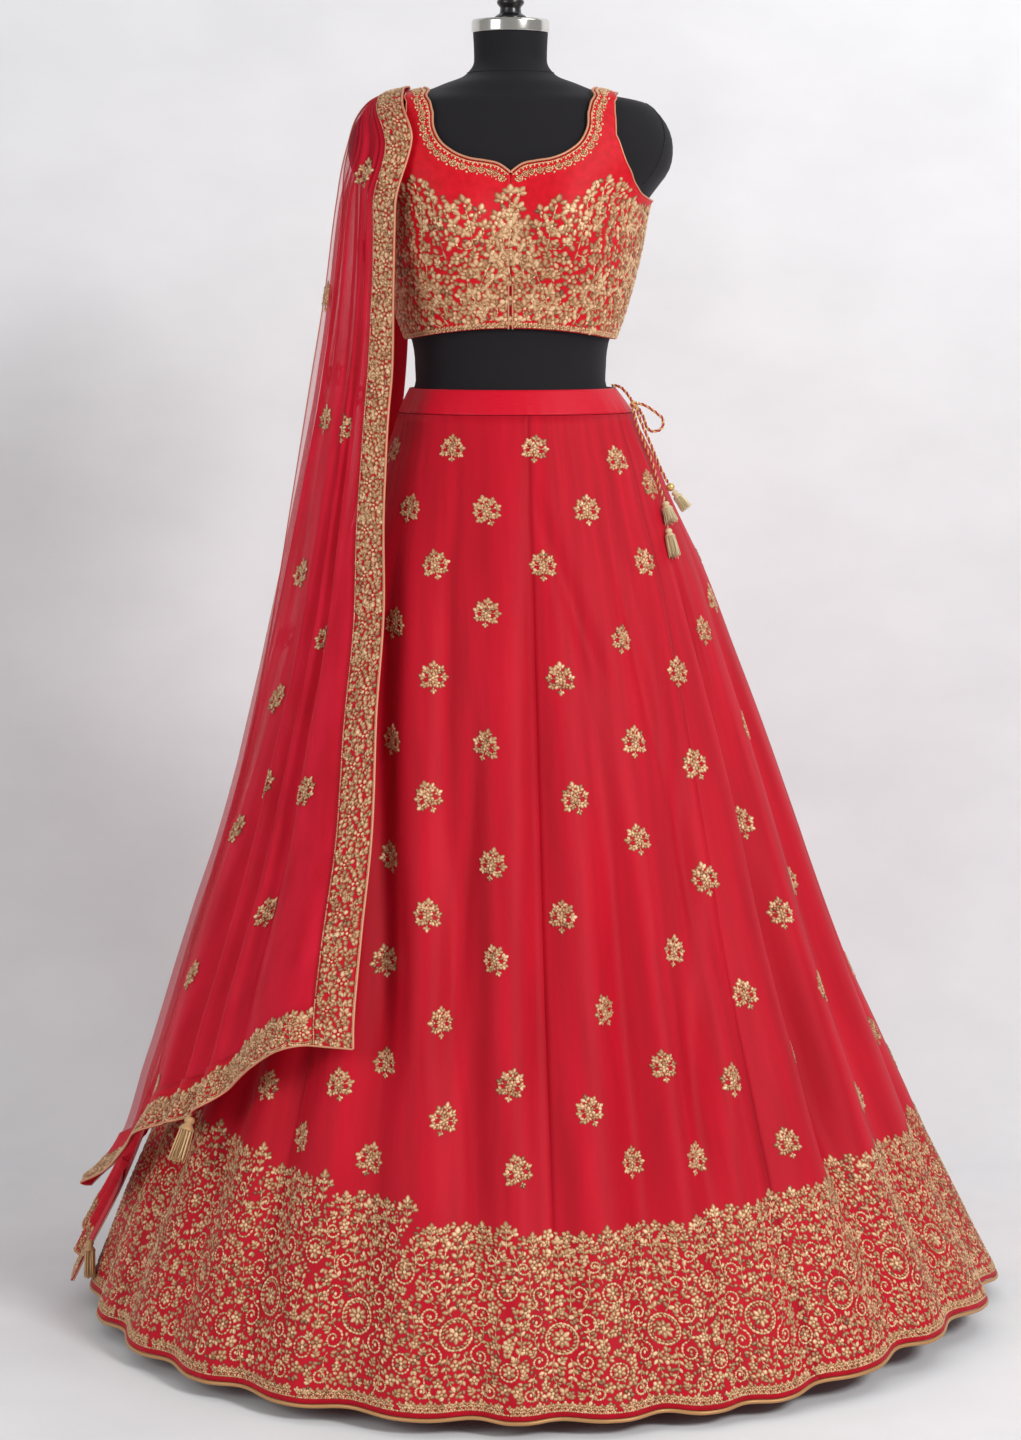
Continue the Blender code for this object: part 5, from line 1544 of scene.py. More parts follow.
def back_work(field):
    """The back's field, one half mirrored, and its row of flowers on the hem."""
    groups = []
    for side, _ in SIDES:
        for angle, height, motif in field_groups(field, side):
            groups.append((np.pi - angle, height, moved(motif, mirror=True)))
        for k in range(BACK_FOOT_BLOSSOMS):
            angle = np.radians(91.0 + 88.0 * (k + 0.5) / BACK_FOOT_BLOSSOMS)
            place = angle if side > 0 else TAU - angle
            groups.append((place, hem_height(angle) + 0.0042, blossom(3.2, 5)))
    return worked("choli_work_back", choli_surface(88.0, 272.0), groups, GOLD, rich=False)


def build_choli():
    build_choli_cloth()
    front_field = choli_field(88.0, FRONT_TOP, True)
    back_top = (BACK_TOP[0], tuple((180.0 - row[0], row[1]) for row in BACK_TOP[1]))
    back_field = choli_field(179.0 - 92.0, back_top, False)
    surfaces = {1.0: choli_surface(-14.0, 92.0), -1.0: choli_surface(-92.0, 2.0)}
    works = []
    for side, name in SIDES:
        works.append(front_work(name, front_field, side, surfaces[side]))
        works.append(neck_work("choli_neck_work_" + name, FRONT_NECK, side, front_neck_cell, True))
    works.append(back_work(back_field))
    for side, name in SIDES:
        works.append(neck_work("choli_neck_work_back_" + name, BACK_NECK, side, back_neck_cell, False))
    for work in works:
        piece(work, "choli_silk")
    build_choli_trims()


PIPING_LIFT = 0.0006  # how far the neck piping's side clears the panels' edge
EDGE_CORD_RADIUS, SLIT_CORD_RADIUS = 0.0010, 0.0009
SLIT_LOW, SLIT_HIGH = 1.1005, 1.1480  # the corded part of the centre opening


def half_piping(top, strap, end):
    """The piping's path along half of a front or back neckline, up to the shoulder."""
    angle, height = edge_line(top, strap, end, "neck", 50)
    line = off_form(angle, height, choli_out(height) + 0.5 * CHOLI_WALL)
    normal = form_normal(angle, height)
    away = np.cross(normal, np.gradient(line, axis=0))
    away = unit(away)
    away *= np.sign(away[:, 2:3] + 1e-9)
    late = ramp(np.arange(len(line)), len(line) * 0.72, len(line) * 0.95)[:, None]
    shoulder = np.array([-1.0, 0.0, 0.25]) / np.linalg.norm([-1.0, 0.0, 0.25])
    away = mix(away, shoulder, late)
    away = unit(away)
    return line + away * (PIPING_RADIUS + PIPING_LIFT) + normal * 0.0004


def build_choli_trims():
    front = half_piping(FRONT_TOP, FRONT_STRAP, STRAP_FIRST)
    back = half_piping(BACK_TOP, BACK_STRAP, BACK_STRAP_NECK)
    left = together(front, back[::-1][1:])
    left[0, 0] = 0.0008
    path = even_path(together(left, left[::-1][1:] * np.array([-1.0, 1.0, 1.0])), 0.0022)
    points, faces = pipe(path, PIPING_RADIUS, 8)
    piece(make_mesh("choli_neck_cord", points, [faces], PIPING_GOLD), "choli_piping", "choli_neck_piping")
    lines = []
    height = np.linspace(SLIT_LOW, SLIT_HIGH, 24)
    for side in (1.0, -1.0):
        line = off_form(np.zeros(24), height, choli_out(height) + CHOLI_WALL + 0.0007)
        line[:, 0] = side * (front_slit(height) + 0.0012)
        lines.append(pipe(line, SLIT_CORD_RADIUS, 6))
        for top, strap, end in (
            (FRONT_TOP, FRONT_STRAP, STRAP_LAST), (BACK_TOP, BACK_STRAP, BACK_STRAP_ARM)
        ):
            a, h = edge_line(top, strap, end, "arm", 40)
            line = off_form(a, h, choli_out(h) + 0.6 * CHOLI_WALL)
            line[:, 0] *= side
            lines.append(pipe(even_path(line, 0.0025), EDGE_CORD_RADIUS, 6))
    points, faces = gather(lines)
    piece(make_mesh("choli_edge_cords", points, [faces], PIPING_GOLD), "choli_piping")
    build_choli_facing()


def build_choli_facing():
    """The strip sewn behind the centre opening, so that the form does not show between the fronts."""
    top = float(smooth(FRONT_TOP, "angle", "height", column(FRONT_TOP, "angle")[:1])[0])
    height = np.linspace(float(hem_height(0.0)) + 0.0010, top - 0.0060, 40)
    line = off_form(np.zeros(40), height, choli_out(height) + CHOLI_WALL - CHOLI_CLOTH - 0.0005)
    reach = (front_slit(height) + 0.0022)[:, None] * np.array([1.0, 0.0, 0.0])
    points = np.stack([line - reach, line + reach], 1).reshape(-1, 3)
    toward = np.tile([0.0, -1.0, 0.0], (len(points), 1))
    made = make_mesh(
        "choli_facing", points, [face_out(quads(2, 40), points, toward)], CHOLI_RED,
        flow=points[:, [0, 2]]
    )
    piece(made, "choli_silk")


# The lehenga skirt, its waistband, motifs and worked hem.

SKIRT_CLOTH = 0.0012
SKIRT_FACE = 0.0007  # how far the cloth's outside stands over the folds' middle
SKIRT_STEPS, SKIRT_ROWS = 14, 98
HEM_REPEATS = 28  # repeats of the worked hem round the skirt
REPEAT_HEIGHT, REPEAT_TALL = 0.115, 0.196  # where a repeat is placed, and its height as drawn
HEM_CORD_GAP = 0.0005
# Heights of the scattered motifs seen in front, and their angles.
FRONT_SPRIGS = (
    (0.970, (-28, 10)), (0.956, (47,)), (0.928, (63,)), (0.905, (27, -9, -42)), (0.848, (-25, 10, 44)),
    (0.800, (78, -7)), (0.785, (-36,)), (0.770, (30, 62)), (0.732, (-21, 12, 45)),
    (0.665, (-6, -31, 28, 68)),
    (0.636, (43,)), (0.611, (13, -19)), (0.567, (55, 25)), (0.546, (-4, -28)), (0.519, (39,)),
    (0.494, (-17, 9, 68)), (0.470, (57,)), (0.452, (29, -3)), (0.441, (-27,)), (0.400, (41, 15)),
    (0.388, (-13, 61)), (0.343, (-23, 23)), (0.332, (49, 0)), (0.321, (-30, 34)), (0.306, (-45, 85, 11)),
    (0.295, (-11,)), (0.262, (-36, 63)), (0.250, (41, -23, 26, 17, 1)),
)
SIDE_ROWS = (("height", "apart", "offset"), (
    (0.965, 40.0, 0.0), (0.905, 36.0, 18.0), (0.845, 30.0, 0.0), (0.785, 27.0, 13.0), (0.725, 25.0, 0.0),
    (0.665, 23.0, 11.0), (0.605, 21.0, 0.0), (0.545, 20.0, 10.0), (0.487, 18.5, 0.0), (0.430, 17.5, 9.0),
    (0.375, 16.5, 0.0), (0.320, 15.5, 8.0), (0.268, 15.0, 0.0),
))
# Height of the worked hem's upper edge, by angle from the front.
WORK_TOP = (("angle", "height"), (
    (-180.0, 0.226), (-61.0, 0.262), (-37.0, 0.244), (-27.0, 0.233), (-17.0, 0.221), (-6.0, 0.204),
    (2.0, 0.198),
    (11.0, 0.196), (22.0, 0.206), (41.0, 0.212), (55.0, 0.223), (89.0, 0.220), (180.0, 0.226),
))


def turn_at(angle, along):
    """The fold count at an angle from the front, in degrees."""
    turns = np.linspace(-1.5, FOLD_COUNT + 1.5, 1200)
    angles = np.degrees(fold_angle(turns, along))
    angle = (angle + 173.0) % 360.0 - 173.0
    return float(np.interp(angle, angles, turns))


def along_at(height):
    return (SKIRT_TOP - height) / (SKIRT_TOP - SKIRT_HEM)


def hem_module(width):
    """One repeat of the worked hem, near 196 mm tall, from its width; y runs up from the hem."""
    half = width / 2
    parts = []
    parts.append(moved(
        together(
            ring(16.5, 26, 4.6, 2.2, 100.0, 0.75), ring(12.2, 20, 4.4, 2.2, 60.0, 0.55),
            blossom(9.4, 8, 90.0), ring(4.2, 8, 2.4, 2.2, 0.0, 0.95, 0.0018)
        ),
        0, 78
    ))
    parts.append(moved(together(ring(10.5, 18, 3.8, 2.0, 100.0, 0.75), blossom(7.8, 7, 90.0)), half, 128))
    parts.append(moved(together(ring(9.0, 16, 3.6, 1.9, 100.0, 0.75), blossom(6.6, 6, 90.0)), half, 44))
    for side in (1, -1):
        for x, y, radius, turns, start in (
            (26, 98, 11.5, 1.2, -110), (24, 56, 10.5, 1.2, 100), (20, 128, 9.5, 1.15, -60),
            (38, 158, 8.0, 1.15, 200), (34, 22, 8.5, 1.2, 150)
        ):
            stem = moved(
                together(
                    chain(scroll(radius, turns, start, 20), 1.9, 0.0013, 0.8), bead(0, 0, 3.0)
                ),
                0, 0
            )
            parts.append(moved(moved(stem, mirror=side < 0), side * x, y))
        for x0, y0, bx, by, x1, y1, size, pairs in (
            (4, 96, 16, 108, 8, 142, 7.0, 5), (22, 110, 34, 118, 32, 146, 6.5, 4),
            (46, 60, 38, 78, 46, 102, 6.5, 4),
            (8, 58, 14, 40, 4, 26, 6.5, 4), (28, 44, 36, 34, 26, 14, 6.0, 3),
            (46, 138, 40, 152, 48, 172, 6.5, 3),
            (10, 132, 16, 146, 12, 164, 6.5, 3), (22, 66, 30, 74, 28, 86, 5.5, 2),
        ):
            parts.append(frond(curve((side * x0, y0), (side * bx, by), (side * x1, y1), 8), size, pairs))
        for x, y, r, n in (
            (18, 30, 5.0, 5), (40, 70, 5.2, 5), (38, 96, 5.2, 5), (14, 150, 5.0, 5),
            (24, 176, 4.6, 5), (44, 8, 4.6, 5)
        ):
            parts.append(moved(blossom(r, n), side * x, y))
    for x, y, size, reach in (
        (0, 168, 8.5, 26), (half, 186, 8.0, 20), (-half * 0.5, 184, 7.0, 18),
        (half * 0.5, 184, 7.0, 18)
    ):
        parts.append(frond([(x, y - 16), (x + 0.5, y - 8), (x, y), (x, y + reach - 14)], 7.0, 3))
        parts.append(moved(trefoil(size), x, y + reach - 13))
        parts.append(moved(trefoil(size * 0.85), x - 7, y + 1, 30))
        parts.append(moved(trefoil(size * 0.85), x + 7, y + 1, -30))
    for k in range(int(width / 7.0)):
        parts.append(moved(blossom(3.7, 5), -half + 3.5 + 7.0 * k, 4.4))
        parts.append(moved(trefoil(4.2), -half + 7.0 * k, 7.0))
    return np.concatenate(parts)


def soften(turn, along, angle):
    """How far the creases, and the small gathers under the waistband, stand out at a place."""
    total = np.zeros(np.broadcast(turn, along).shape)
    degrees = np.degrees(angle)
    for high, top, low, foot, depth, width in CREASES[1]:
        share = np.clip((along - top) / (foot - top), -0.5, 1.5)
        centre = mix(high, low, np.clip(share, 0.0, 1.0))
        off = (degrees - centre + 180.0) % 360.0 - 180.0
        window = ramp(share, -0.05, 0.35) * (1.0 - ramp(share, 0.75, 1.10))
        total = total + depth * window * np.exp(-(off / width) ** 2)
    gathers = np.sin(turn * TAU * 1.5 + 0.6 * np.sin(turn * 2.1))
    gathers = gathers + 0.6 * np.sin(turn * TAU * 2.5 + 1.3 * np.sin(turn))
    near_band = 1.0 - ramp(along, 0.02, 0.42)
    return total + 0.00055 * (1.0 + gathers * 0.6) * near_band * ramp(along, 0.0, 0.03)


# Creases between the folds: angle and share of the length at the upper and the lower end, depth, and
# width in degrees.
CREASES = (("high_angle", "top", "low_angle", "foot", "depth", "width"), (
    (-45.0, 0.12, -20.0, 0.70, 0.0119, 3.4),
    (-23.0, 0.04, -6.0, 0.85, 0.0119, 3.0),
    (7.0, 0.02, 4.0, 0.80, 0.0093, 2.6),
    (21.0, 0.38, 19.0, 0.90, 0.0136, 2.6),
    (41.0, 0.28, 27.0, 0.78, 0.0127, 2.8),
    (54.0, 0.44, 50.0, 0.84, 0.0136, 2.8),
    (58.0, 0.12, 51.0, 0.62, 0.0085, 1.3),
    (8.0, 0.07, 25.0, 0.31, 0.0068, 3.0),
    (-8.0, 0.30, -13.0, 0.75, 0.0076, 2.4),
    (32.0, 0.10, 36.0, 0.60, 0.0076, 2.6),
    (74.0, 0.15, 66.0, 0.80, 0.0110, 3.0),
    (96.0, 0.10, 88.0, 0.80, 0.0110, 3.4),
    (120.0, 0.20, 108.0, 0.85, 0.0110, 3.4),
    (142.0, 0.10, 134.0, 0.75, 0.0110, 3.4),
    (165.0, 0.25, 160.0, 0.85, 0.0110, 3.0),
    (-172.0, 0.08, -168.0, 0.80, 0.0110, 3.0),
    (-150.0, 0.20, -148.0, 0.85, 0.0110, 3.4),
    (-126.0, 0.10, -133.0, 0.80, 0.0110, 3.4),
    (-102.0, 0.15, -96.0, 0.80, 0.0110, 3.4),
    (-78.0, 0.12, -70.0, 0.80, 0.0102, 3.0),
))


def sprig_seats():
    """Height and angle of each scattered motif, in front and on round the back."""
    seats = [(height, angle) for height, angles in FRONT_SPRIGS for angle in angles]
    for height, apart, offset in SIDE_ROWS[1]:
        angle = 92.0 + offset * 0.5
        while angle < 360.0 - 62.0:
            seats.append((height, (angle + 180.0) % 360.0 - 180.0))
            angle += apart
    return seats


def hem_repeats(width):
    """The worked hem's repeat twice over, with its small motifs thrown differently."""
    half = width * 500.0
    foot = [(-half + 2.2 * k, 1.2, 0.0, 2.4, 1.5) for k in range(int(width * 1e3 / 2.2))]
    module = together(hem_module(width * 1e3), leaves(foot, 0.0010, 0.7))
    return [fill(module, (-half, 13.0), (half, 192.0), wrap=width * 1e3) for _ in range(2)]


def fitted_repeat(surface, turn, row, module):
    """A repeat of the hem's work, stretched to the height that its top has at this angle."""
    angle = float(np.degrees(fold_angle(np.array(turn), np.array(along_at(REPEAT_HEIGHT)))))
    limit = float(smooth(WORK_TOP, "angle", "height", (angle + 180.0) % 360.0 - 180.0))
    column_at = int(round((turn - surface.first[0]) * SKIRT_STEPS))
    reach = float(surface.down[-1, column_at] - surface.down[row, column_at])
    slope = reach / (REPEAT_HEIGHT - SKIRT_HEM)
    stretch = (limit - SKIRT_HEM) * slope / REPEAT_TALL
    fitted = module.copy()
    fitted[:, 1] = fitted[:, 1] * stretch - reach + 0.0004
    return fitted


def skirt_groups(surface, first, last, seats, modules, start, width):
    """The thread work of one panel: the hem's repeats, then the scattered motifs."""
    row = int(np.argmin(np.abs(surface.second - along_at(REPEAT_HEIGHT))))
    groups = []
    for k in range(HEM_REPEATS):
        turn = float(np.interp(start + (k + 0.5) * width, surface.across[row], surface.first))
        if first <= turn < last:
            fitted = fitted_repeat(surface, turn, row, modules[k % 2])
            groups.append((turn, along_at(REPEAT_HEIGHT), fitted))
    for height, angle in seats:
        share = along_at(height)
        turn = turn_at(angle, share) % FOLD_COUNT
        if first <= turn < last:
            sprig = sprig_motif(RNG.uniform(-0.3, 0.1))
            groups.append((
                turn, share,
                moved(
                    sprig, 0, 0, RNG.uniform(-16, 16), RNG.uniform(0.96, 1.06), RNG.random() < 0.5
                )
            ))
    return groups


def build_skirt():
    per_panel = FOLD_COUNT // PANELS
    along = np.linspace(0.0, 1.0, SKIRT_ROWS)
    turns = np.arange(-2 * SKIRT_STEPS, (FOLD_COUNT + 2) * SKIRT_STEPS + 1) / SKIRT_STEPS
    tt, aa = np.meshgrid(turns, along)
    normal = skirt_normal(tt, aa)
    outer = skirt_point(tt, aa) + normal * SKIRT_FACE
    surface = Surface(turns, along, outer, normal, up=-1.0)
    run = surface.across[int(np.argmin(np.abs(along - along_at(REPEAT_HEIGHT))))]
    start, end = (np.interp(t, turns, run) for t in (0.0, float(FOLD_COUNT)))
    width = (end - start) / HEM_REPEATS
    modules = hem_repeats(width)
    seats = sprig_seats()
    for panel in range(PANELS):
        number = panel + 1
        first = panel * per_panel
        low, high = (int(np.argmin(np.abs(turns - t))) for t in (first, first + per_panel))
        part = slice(low, high + 1)
        columns = high - low + 1
        out_points = outer[:, part].reshape(-1, 3)
        in_points = (outer[:, part] - normal[:, part] * SKIRT_CLOTH).reshape(-1, 3)
        faces = face_out(quads(columns, SKIRT_ROWS), out_points, out_points - in_points)
        flow = np.stack([tt[:, part] * 1.3, aa[:, part]], -1).reshape(-1, 2)
        shell = thin("skirt_cloth_%d" % number, out_points, in_points, faces, SKIRT_RED, flow=flow)
        cloth = piece(shell, "skirt_net", "skirt_panel_%d" % number)
        groups = skirt_groups(surface, first, first + per_panel, seats, modules, start, width)
        seen = 2 <= panel <= 5
        work = piece(worked("skirt_work_%d" % number, surface, groups, GOLD, rich=seen), "skirt_net")
        line = skirt_point(turns[part], np.ones(columns))
        line[:, 2] -= HEM_PIPING_RADIUS + HEM_CORD_GAP
        points, faces = pipe(line, HEM_PIPING_RADIUS, 8)
        cord = make_mesh("hem_cord_%d" % number, points, [faces], HEM_GOLD)
        edge = piece(cord, "hem_piping", "hem_piping_%d" % number)


BAND_STEPS, BAND_ROWS = 241, 14
BAND_FACE, BAND_BACK = 0.0002, 0.0016  # depths of the satin's two faces below the solid's


def build_waistband():
    angle = np.radians(np.linspace(BAND_OPEN_LAST, BAND_OPEN_FIRST + 360.0, BAND_STEPS))
    height = np.linspace(BAND_LOW, BAND_HIGH, BAND_ROWS)
    aa, hh = np.meshgrid(angle, height)
    share = (hh - BAND_LOW) / (BAND_HIGH - BAND_LOW)
    pucker = 0.00025 * np.sin(aa * 46.0 + 3.0 * np.sin(aa * 5.0)) * (1.0 - share)
    belly = 0.0004 * np.sin(np.pi * share)
    outer = band_point(aa, hh, pucker + belly - BAND_FACE).reshape(-1, 3)
    inner = band_point(aa, hh, pucker + belly - BAND_BACK).reshape(-1, 3)
    faces = face_out(quads(BAND_STEPS, BAND_ROWS), outer, outer - inner)
    made = thin(
        "waistband_cloth", outer, inner, faces, BAND_RED,
        flow=np.stack([aa * 2.0, share], -1).reshape(-1, 2)
    )
    piece(made, "waistband_satin", "waistband")


# The dupatta.

def cover_of(place, along):
    """How closed the net looks: single at the outer margin, several layers elsewhere."""
    span = np.minimum(along, 2.0 - along)
    layers = 0.5 + 0.5 * np.sin(TAU * (0.62 * place + 0.10 * np.sin(2.3 * place + 5.0 * span)))
    layers = mix(layers, 0.5 + 0.5 * np.sin(TAU * 1.37 * place + 1.3), 0.35)
    cover = 0.90 + 0.09 * layers
    margin = ramp(place + 0.35 * np.sin(7.0 * span), 4.5, 5.1)
    cover = mix(cover, 0.40 + 0.16 * layers, margin)
    shoulder = ramp(span, 0.60, 0.86) * ramp(place, 1.4, 2.2) * (1.0 - margin)
    cover = cover - 0.26 * shoulder * (1.0 - 0.7 * layers)
    slit = np.exp(
        -((place - 1.55 - 0.2 * np.sin(9.0 * span)) / 0.16) ** 2
    ) * ramp(span, 0.45, 0.62) * (1.0 - ramp(span, 0.90, 0.98))
    cover = cover - 0.35 * slit
    return np.clip(cover, 0.35, 0.99)


BORDER_COLUMNS = 7
# How far a border's cloth stands over and under the solid's outer face, and the net's work over it.
BORDER_OVER, BORDER_UNDER, NET_OVER = 0.0010, 0.0002, 0.0001


def net_grid(name, along, steps, node, border_node):
    """The net and its long border on one stretch, and the surfaces that their thread work lies on."""
    border = np.linspace(0.0, 1.0, BORDER_COLUMNS)
    place = together(border[:-1], np.linspace(1.0, 1.0 + NET_PLEATS, NET_PLEATS * steps + 1))
    pp, ll = np.meshgrid(place, along)
    base = net_point(pp, ll)
    normal = net_normal(pp, ll)
    points = base + normal * (0.5 * NET_WALL)
    flow = np.stack([pp, ll * 4.0], -1).reshape(-1, 2)
    faces = quads(len(place), len(along))
    net = make_mesh("dupatta_net_" + name, points, [faces], NET_RED, cover=cover_of(pp, ll), flow=flow)
    piece(net, "dupatta_net", node)
    surface = Surface(place, along, base + normal * (NET_WALL + NET_OVER), normal)
    top = base + normal * (BORDER_OUT + BORDER_OVER)
    raised = Surface(place, along, top, normal)
    strip = slice(0, BORDER_COLUMNS)
    low = (base + normal * (BORDER_OUT - BORDER_UNDER))[:, strip].reshape(-1, 3)
    high = top[:, strip].reshape(-1, 3)
    faces = face_out(quads(BORDER_COLUMNS, len(along)), high, normal[:, strip].reshape(-1, 3))
    band = thin(
        "dupatta_band_" + name, high, low, faces, BORDER_RED,
        flow=flow.reshape(len(along), -1, 2)[:, strip].reshape(-1, 2)
    )
    piece(band, "dupatta_border", border_node)
    return net, band, surface, raised, place, base, normal


def rose(radius):
    """A round flower: a ring of broad petals, an inner ring, and a corded edge."""
    outer = ring(radius * 0.52, 8, radius * 0.52, radius * 0.34, 0.0, 0.62, 0.0015)
    inner = ring(radius * 0.20, 5, radius * 0.34, radius * 0.26, 0.0, 0.80, 0.0019)
    edge = ring(radius * 0.52, 14, radius * 0.24, 1.3, 100.0, 0.50, 0.0011)
    return together(outer, edge, inner, bead(0, 0, radius * 0.22, 0.95, 0.0022))


BORDER_CELL = (40.0, 52.0)  # width and length of one repeat of the long border, in millimetres


def border_cells():
    """Repeats of the long border: two round flowers, one to each side, among leaves; y is along it."""
    wide, long = BORDER_CELL
    cells = []
    for _ in range(3):
        parts = [
            moved(rose(13.0), 14.5, 13.0, RNG.uniform(0, 60)),
            moved(rose(11.0), 26.5, 38.0, RNG.uniform(0, 60))
        ]
        parts.append(frond(curve((25, 2), (32, 12), (24, 22), 6), 7.0, 3))
        parts.append(frond(curve((14, 28), (6, 36), (13, 47), 6), 7.0, 3))
        parts.append(moved(trefoil(7.0), 33, 20, -30))
        parts.append(moved(trefoil(7.0), 7, 45, 35))
        for k in range(int(long / 2.6)):
            parts.append(chain([(1.0, k * 2.6), (1.0, k * 2.6 + 2.6)], 1.3, 0.0011, 0.7))
            parts.append(chain([(wide - 1.2, k * 2.6), (wide - 1.2, k * 2.6 + 2.6)], 1.3, 0.0011, 0.7))
        cells.append(fill(
            np.concatenate(parts), (3.0, 0.5), (wide - 3.0, long - 0.5), levels=(1, 2),
            room_share=0.80
        ))
    return cells


def border_groups(raised, cells):
    """Repeats up the strip, each fitted to its width there."""
    groups = []
    column_points = raised.points[:, 3]
    run = run_along(column_points)
    wide, long = BORDER_CELL
    count = int(run[-1] * 1e3 / long)
    for k in range(count):
        at = (k + 0.5) * run[-1] / count
        along = float(np.interp(at, run, raised.second))
        j = int(np.argmin(np.abs(raised.second - along)))
        share = float(raised.across[j, 6]) * 1e3 / wide
        cell = cells[k % len(cells)].copy()
        cell[:, 0] *= share
        cell[:, 1] -= long * 0.5e-3
        groups.append((raised.first[0], along, cell))
    return groups


def end_cells():
    """Repeats of the worked end: a round flower over a scalloped foot, with leaves and buds above."""
    cells = []
    for _ in range(2):
        parts = [moved(rose(9.5), 0, 14), moved(rose(6.0), 13, 25)]
        parts += [
            moved(trefoil(7.4), 0, 30), moved(trefoil(6.8), 9, 35, -20),
            moved(trefoil(6.8), -9, 34, 20)
        ]
        parts.append(frond(curve((9, 4), (13, 10), (12, 18), 5), 5.8, 2))
        arch = np.stack(
            [
                12.6 * np.cos(np.linspace(np.pi, TAU, 14)),
                3.6 * np.sin(np.linspace(np.pi, TAU, 14)) + 4.4
            ],
            -1
        )
        parts += [chain(arch, 2.2, 0.0014, 0.8), chain(arch + (0.0, 2.4), 1.4, 0.0011, 0.6)]
        cells.append(fill(
            np.concatenate(parts), (-13.0, 7.0), (13.0, 33.0), wrap=26.0, levels=(1, 2, 3),
            room_share=0.72
        ))
    return cells


# Share of the way along that the end border takes, and the length of one repeat of its work.
END_REACH = {"front": 0.06, "back": 0.07}
END_REPEAT = 0.026
# Radii of the cords on the border's edge, the end's edge and the net's far edge.
LONG_CORD, END_CORD, FAR_CORD = 0.0012, 0.0011, 0.0007


def end_cloth(name, along, place, base, normal, node):
    """The end border's cloth on one stretch, and the rows of the grid that it covers."""
    reach = END_REACH[name]
    rows = np.where(along <= reach)[0] if name == "front" else np.where(along >= 2.0 - reach)[0]
    wide = slice(BORDER_COLUMNS - 1, len(place))
    points, out = base[rows][:, wide], normal[rows][:, wide]
    high = (points + out * (BORDER_OUT + BORDER_OVER)).reshape(-1, 3)
    low = (points + out * (BORDER_OUT - BORDER_UNDER)).reshape(-1, 3)
    columns = len(place) - BORDER_COLUMNS + 1
    faces = face_out(quads(columns, len(rows)), high, out.reshape(-1, 3))
    pp, ll = np.meshgrid(place[wide], along[rows])
    flow = np.stack([pp, ll * 8.0], -1).reshape(-1, 2)
    made = thin("dupatta_hem_" + name, high, low, faces, BORDER_RED, flow=flow)
    return piece(made, "dupatta_border", node), rows


def end_groups(name, along, place, base, outer_row, cells):
    """Repeats across the end border, turned round where the end is the last row."""
    wide = slice(BORDER_COLUMNS - 1, len(place))
    run = run_along(base[outer_row][wide])
    count = int(run[-1] / END_REPEAT)
    groups = []
    for k in range(count):
        u = float(np.interp((k + 0.5) * run[-1] / count, run, place[wide]))
        cell = cells[k % 2].copy()
        if name == "back":
            cell[:, 1:3] *= -1.0
        groups.append((u, along[outer_row], cell))
    return groups


def edge_cords(name, base, normal, outer_row):
    """The cords on the border's edge, the end's edge and the net's far edge."""
    over = base + normal * (BORDER_OUT + LONG_CORD)
    tubes = [
        pipe(even_path(over[:, 0], 0.004), LONG_CORD, 6),
        pipe(even_path(over[outer_row], 0.003), END_CORD, 6),
        pipe(even_path((base + normal * 0.0006)[:, -1], 0.004), FAR_CORD, 5),
    ]
    points, faces = gather(tubes)
    made = make_mesh("dupatta_edge_cords_" + name, points, [faces], PIPING_GOLD)
    return piece(made, "dupatta_border")


def build_stretch(name, along, steps, sprigs, cells, foot_cells):
    """The front or the back stretch: net, borders, their thread work and cords."""
    net, band, surface, raised, place, base, normal = net_grid(
        name, along, steps, "dupatta_" + name, "dupatta_border_" + name
    )
    rich = name == "front"
    outer_row = 0 if name == "front" else -1
    work = piece(
        worked("dupatta_band_work_" + name, raised, border_groups(raised, cells), GOLD, rich=rich),
        "dupatta_border"
    )
    end, rows = end_cloth(name, along, place, base, normal, "dupatta_end_" + name)
    groups = end_groups(name, along, place, base, outer_row, foot_cells)
    end_work = piece(worked("dupatta_hem_work_" + name, raised, groups, GOLD, rich=rich), "dupatta_border")
    sprig = sprig_motif()
    spots = [(p, a, moved(sprig, 0, 0, RNG.uniform(-9, 9), 0.96)) for a, p in sprigs]
    dots = piece(worked("dupatta_sprigs_" + name, surface, spots, GOLD, rich=rich), "dupatta_net")
    cords = edge_cords(name, base, normal, outer_row)


def build_dupatta():
    cells, foot_cells = border_cells(), end_cells()
    front = together(np.linspace(0.0, 0.90, 150), np.linspace(0.90, 0.9994, 46)[1:])
    back = together(np.linspace(1.0006, 1.08, 32), np.linspace(1.08, 2.0, 110)[1:])
    build_stretch("front", front, 16, NET_SPRIGS[1], cells, foot_cells)
    build_stretch("back", back, 12, BACK_NET_SPRIGS[1], cells, foot_cells)


# Places of the scattered motifs on the net: share of the way up or down, and pleat count.
NET_SPRIGS = (("along", "place"), (
    (0.905, 3.0), (0.774, 6.05), (0.638, 2.33), (0.645, 4.08), (0.509, 4.20), (0.444, 2.17), (0.409, 4.15),
    (0.298, 1.83), (0.298, 4.25), (0.328, 3.25), (0.189, 2.48), (0.161, 4.20), (0.062, 4.38),
))
BACK_NET_SPRIGS = (("along", "place"), (
    (1.16, 3.4), (1.28, 5.2), (1.30, 2.2), (1.42, 3.8), (1.48, 1.9), (1.52, 5.5), (1.60, 3.0), (1.66, 4.6),
    (1.72, 1.9), (1.78, 3.6), (1.80, 5.4), (1.88, 2.6), (1.90, 4.5),
))


# Tassels and the drawstring.

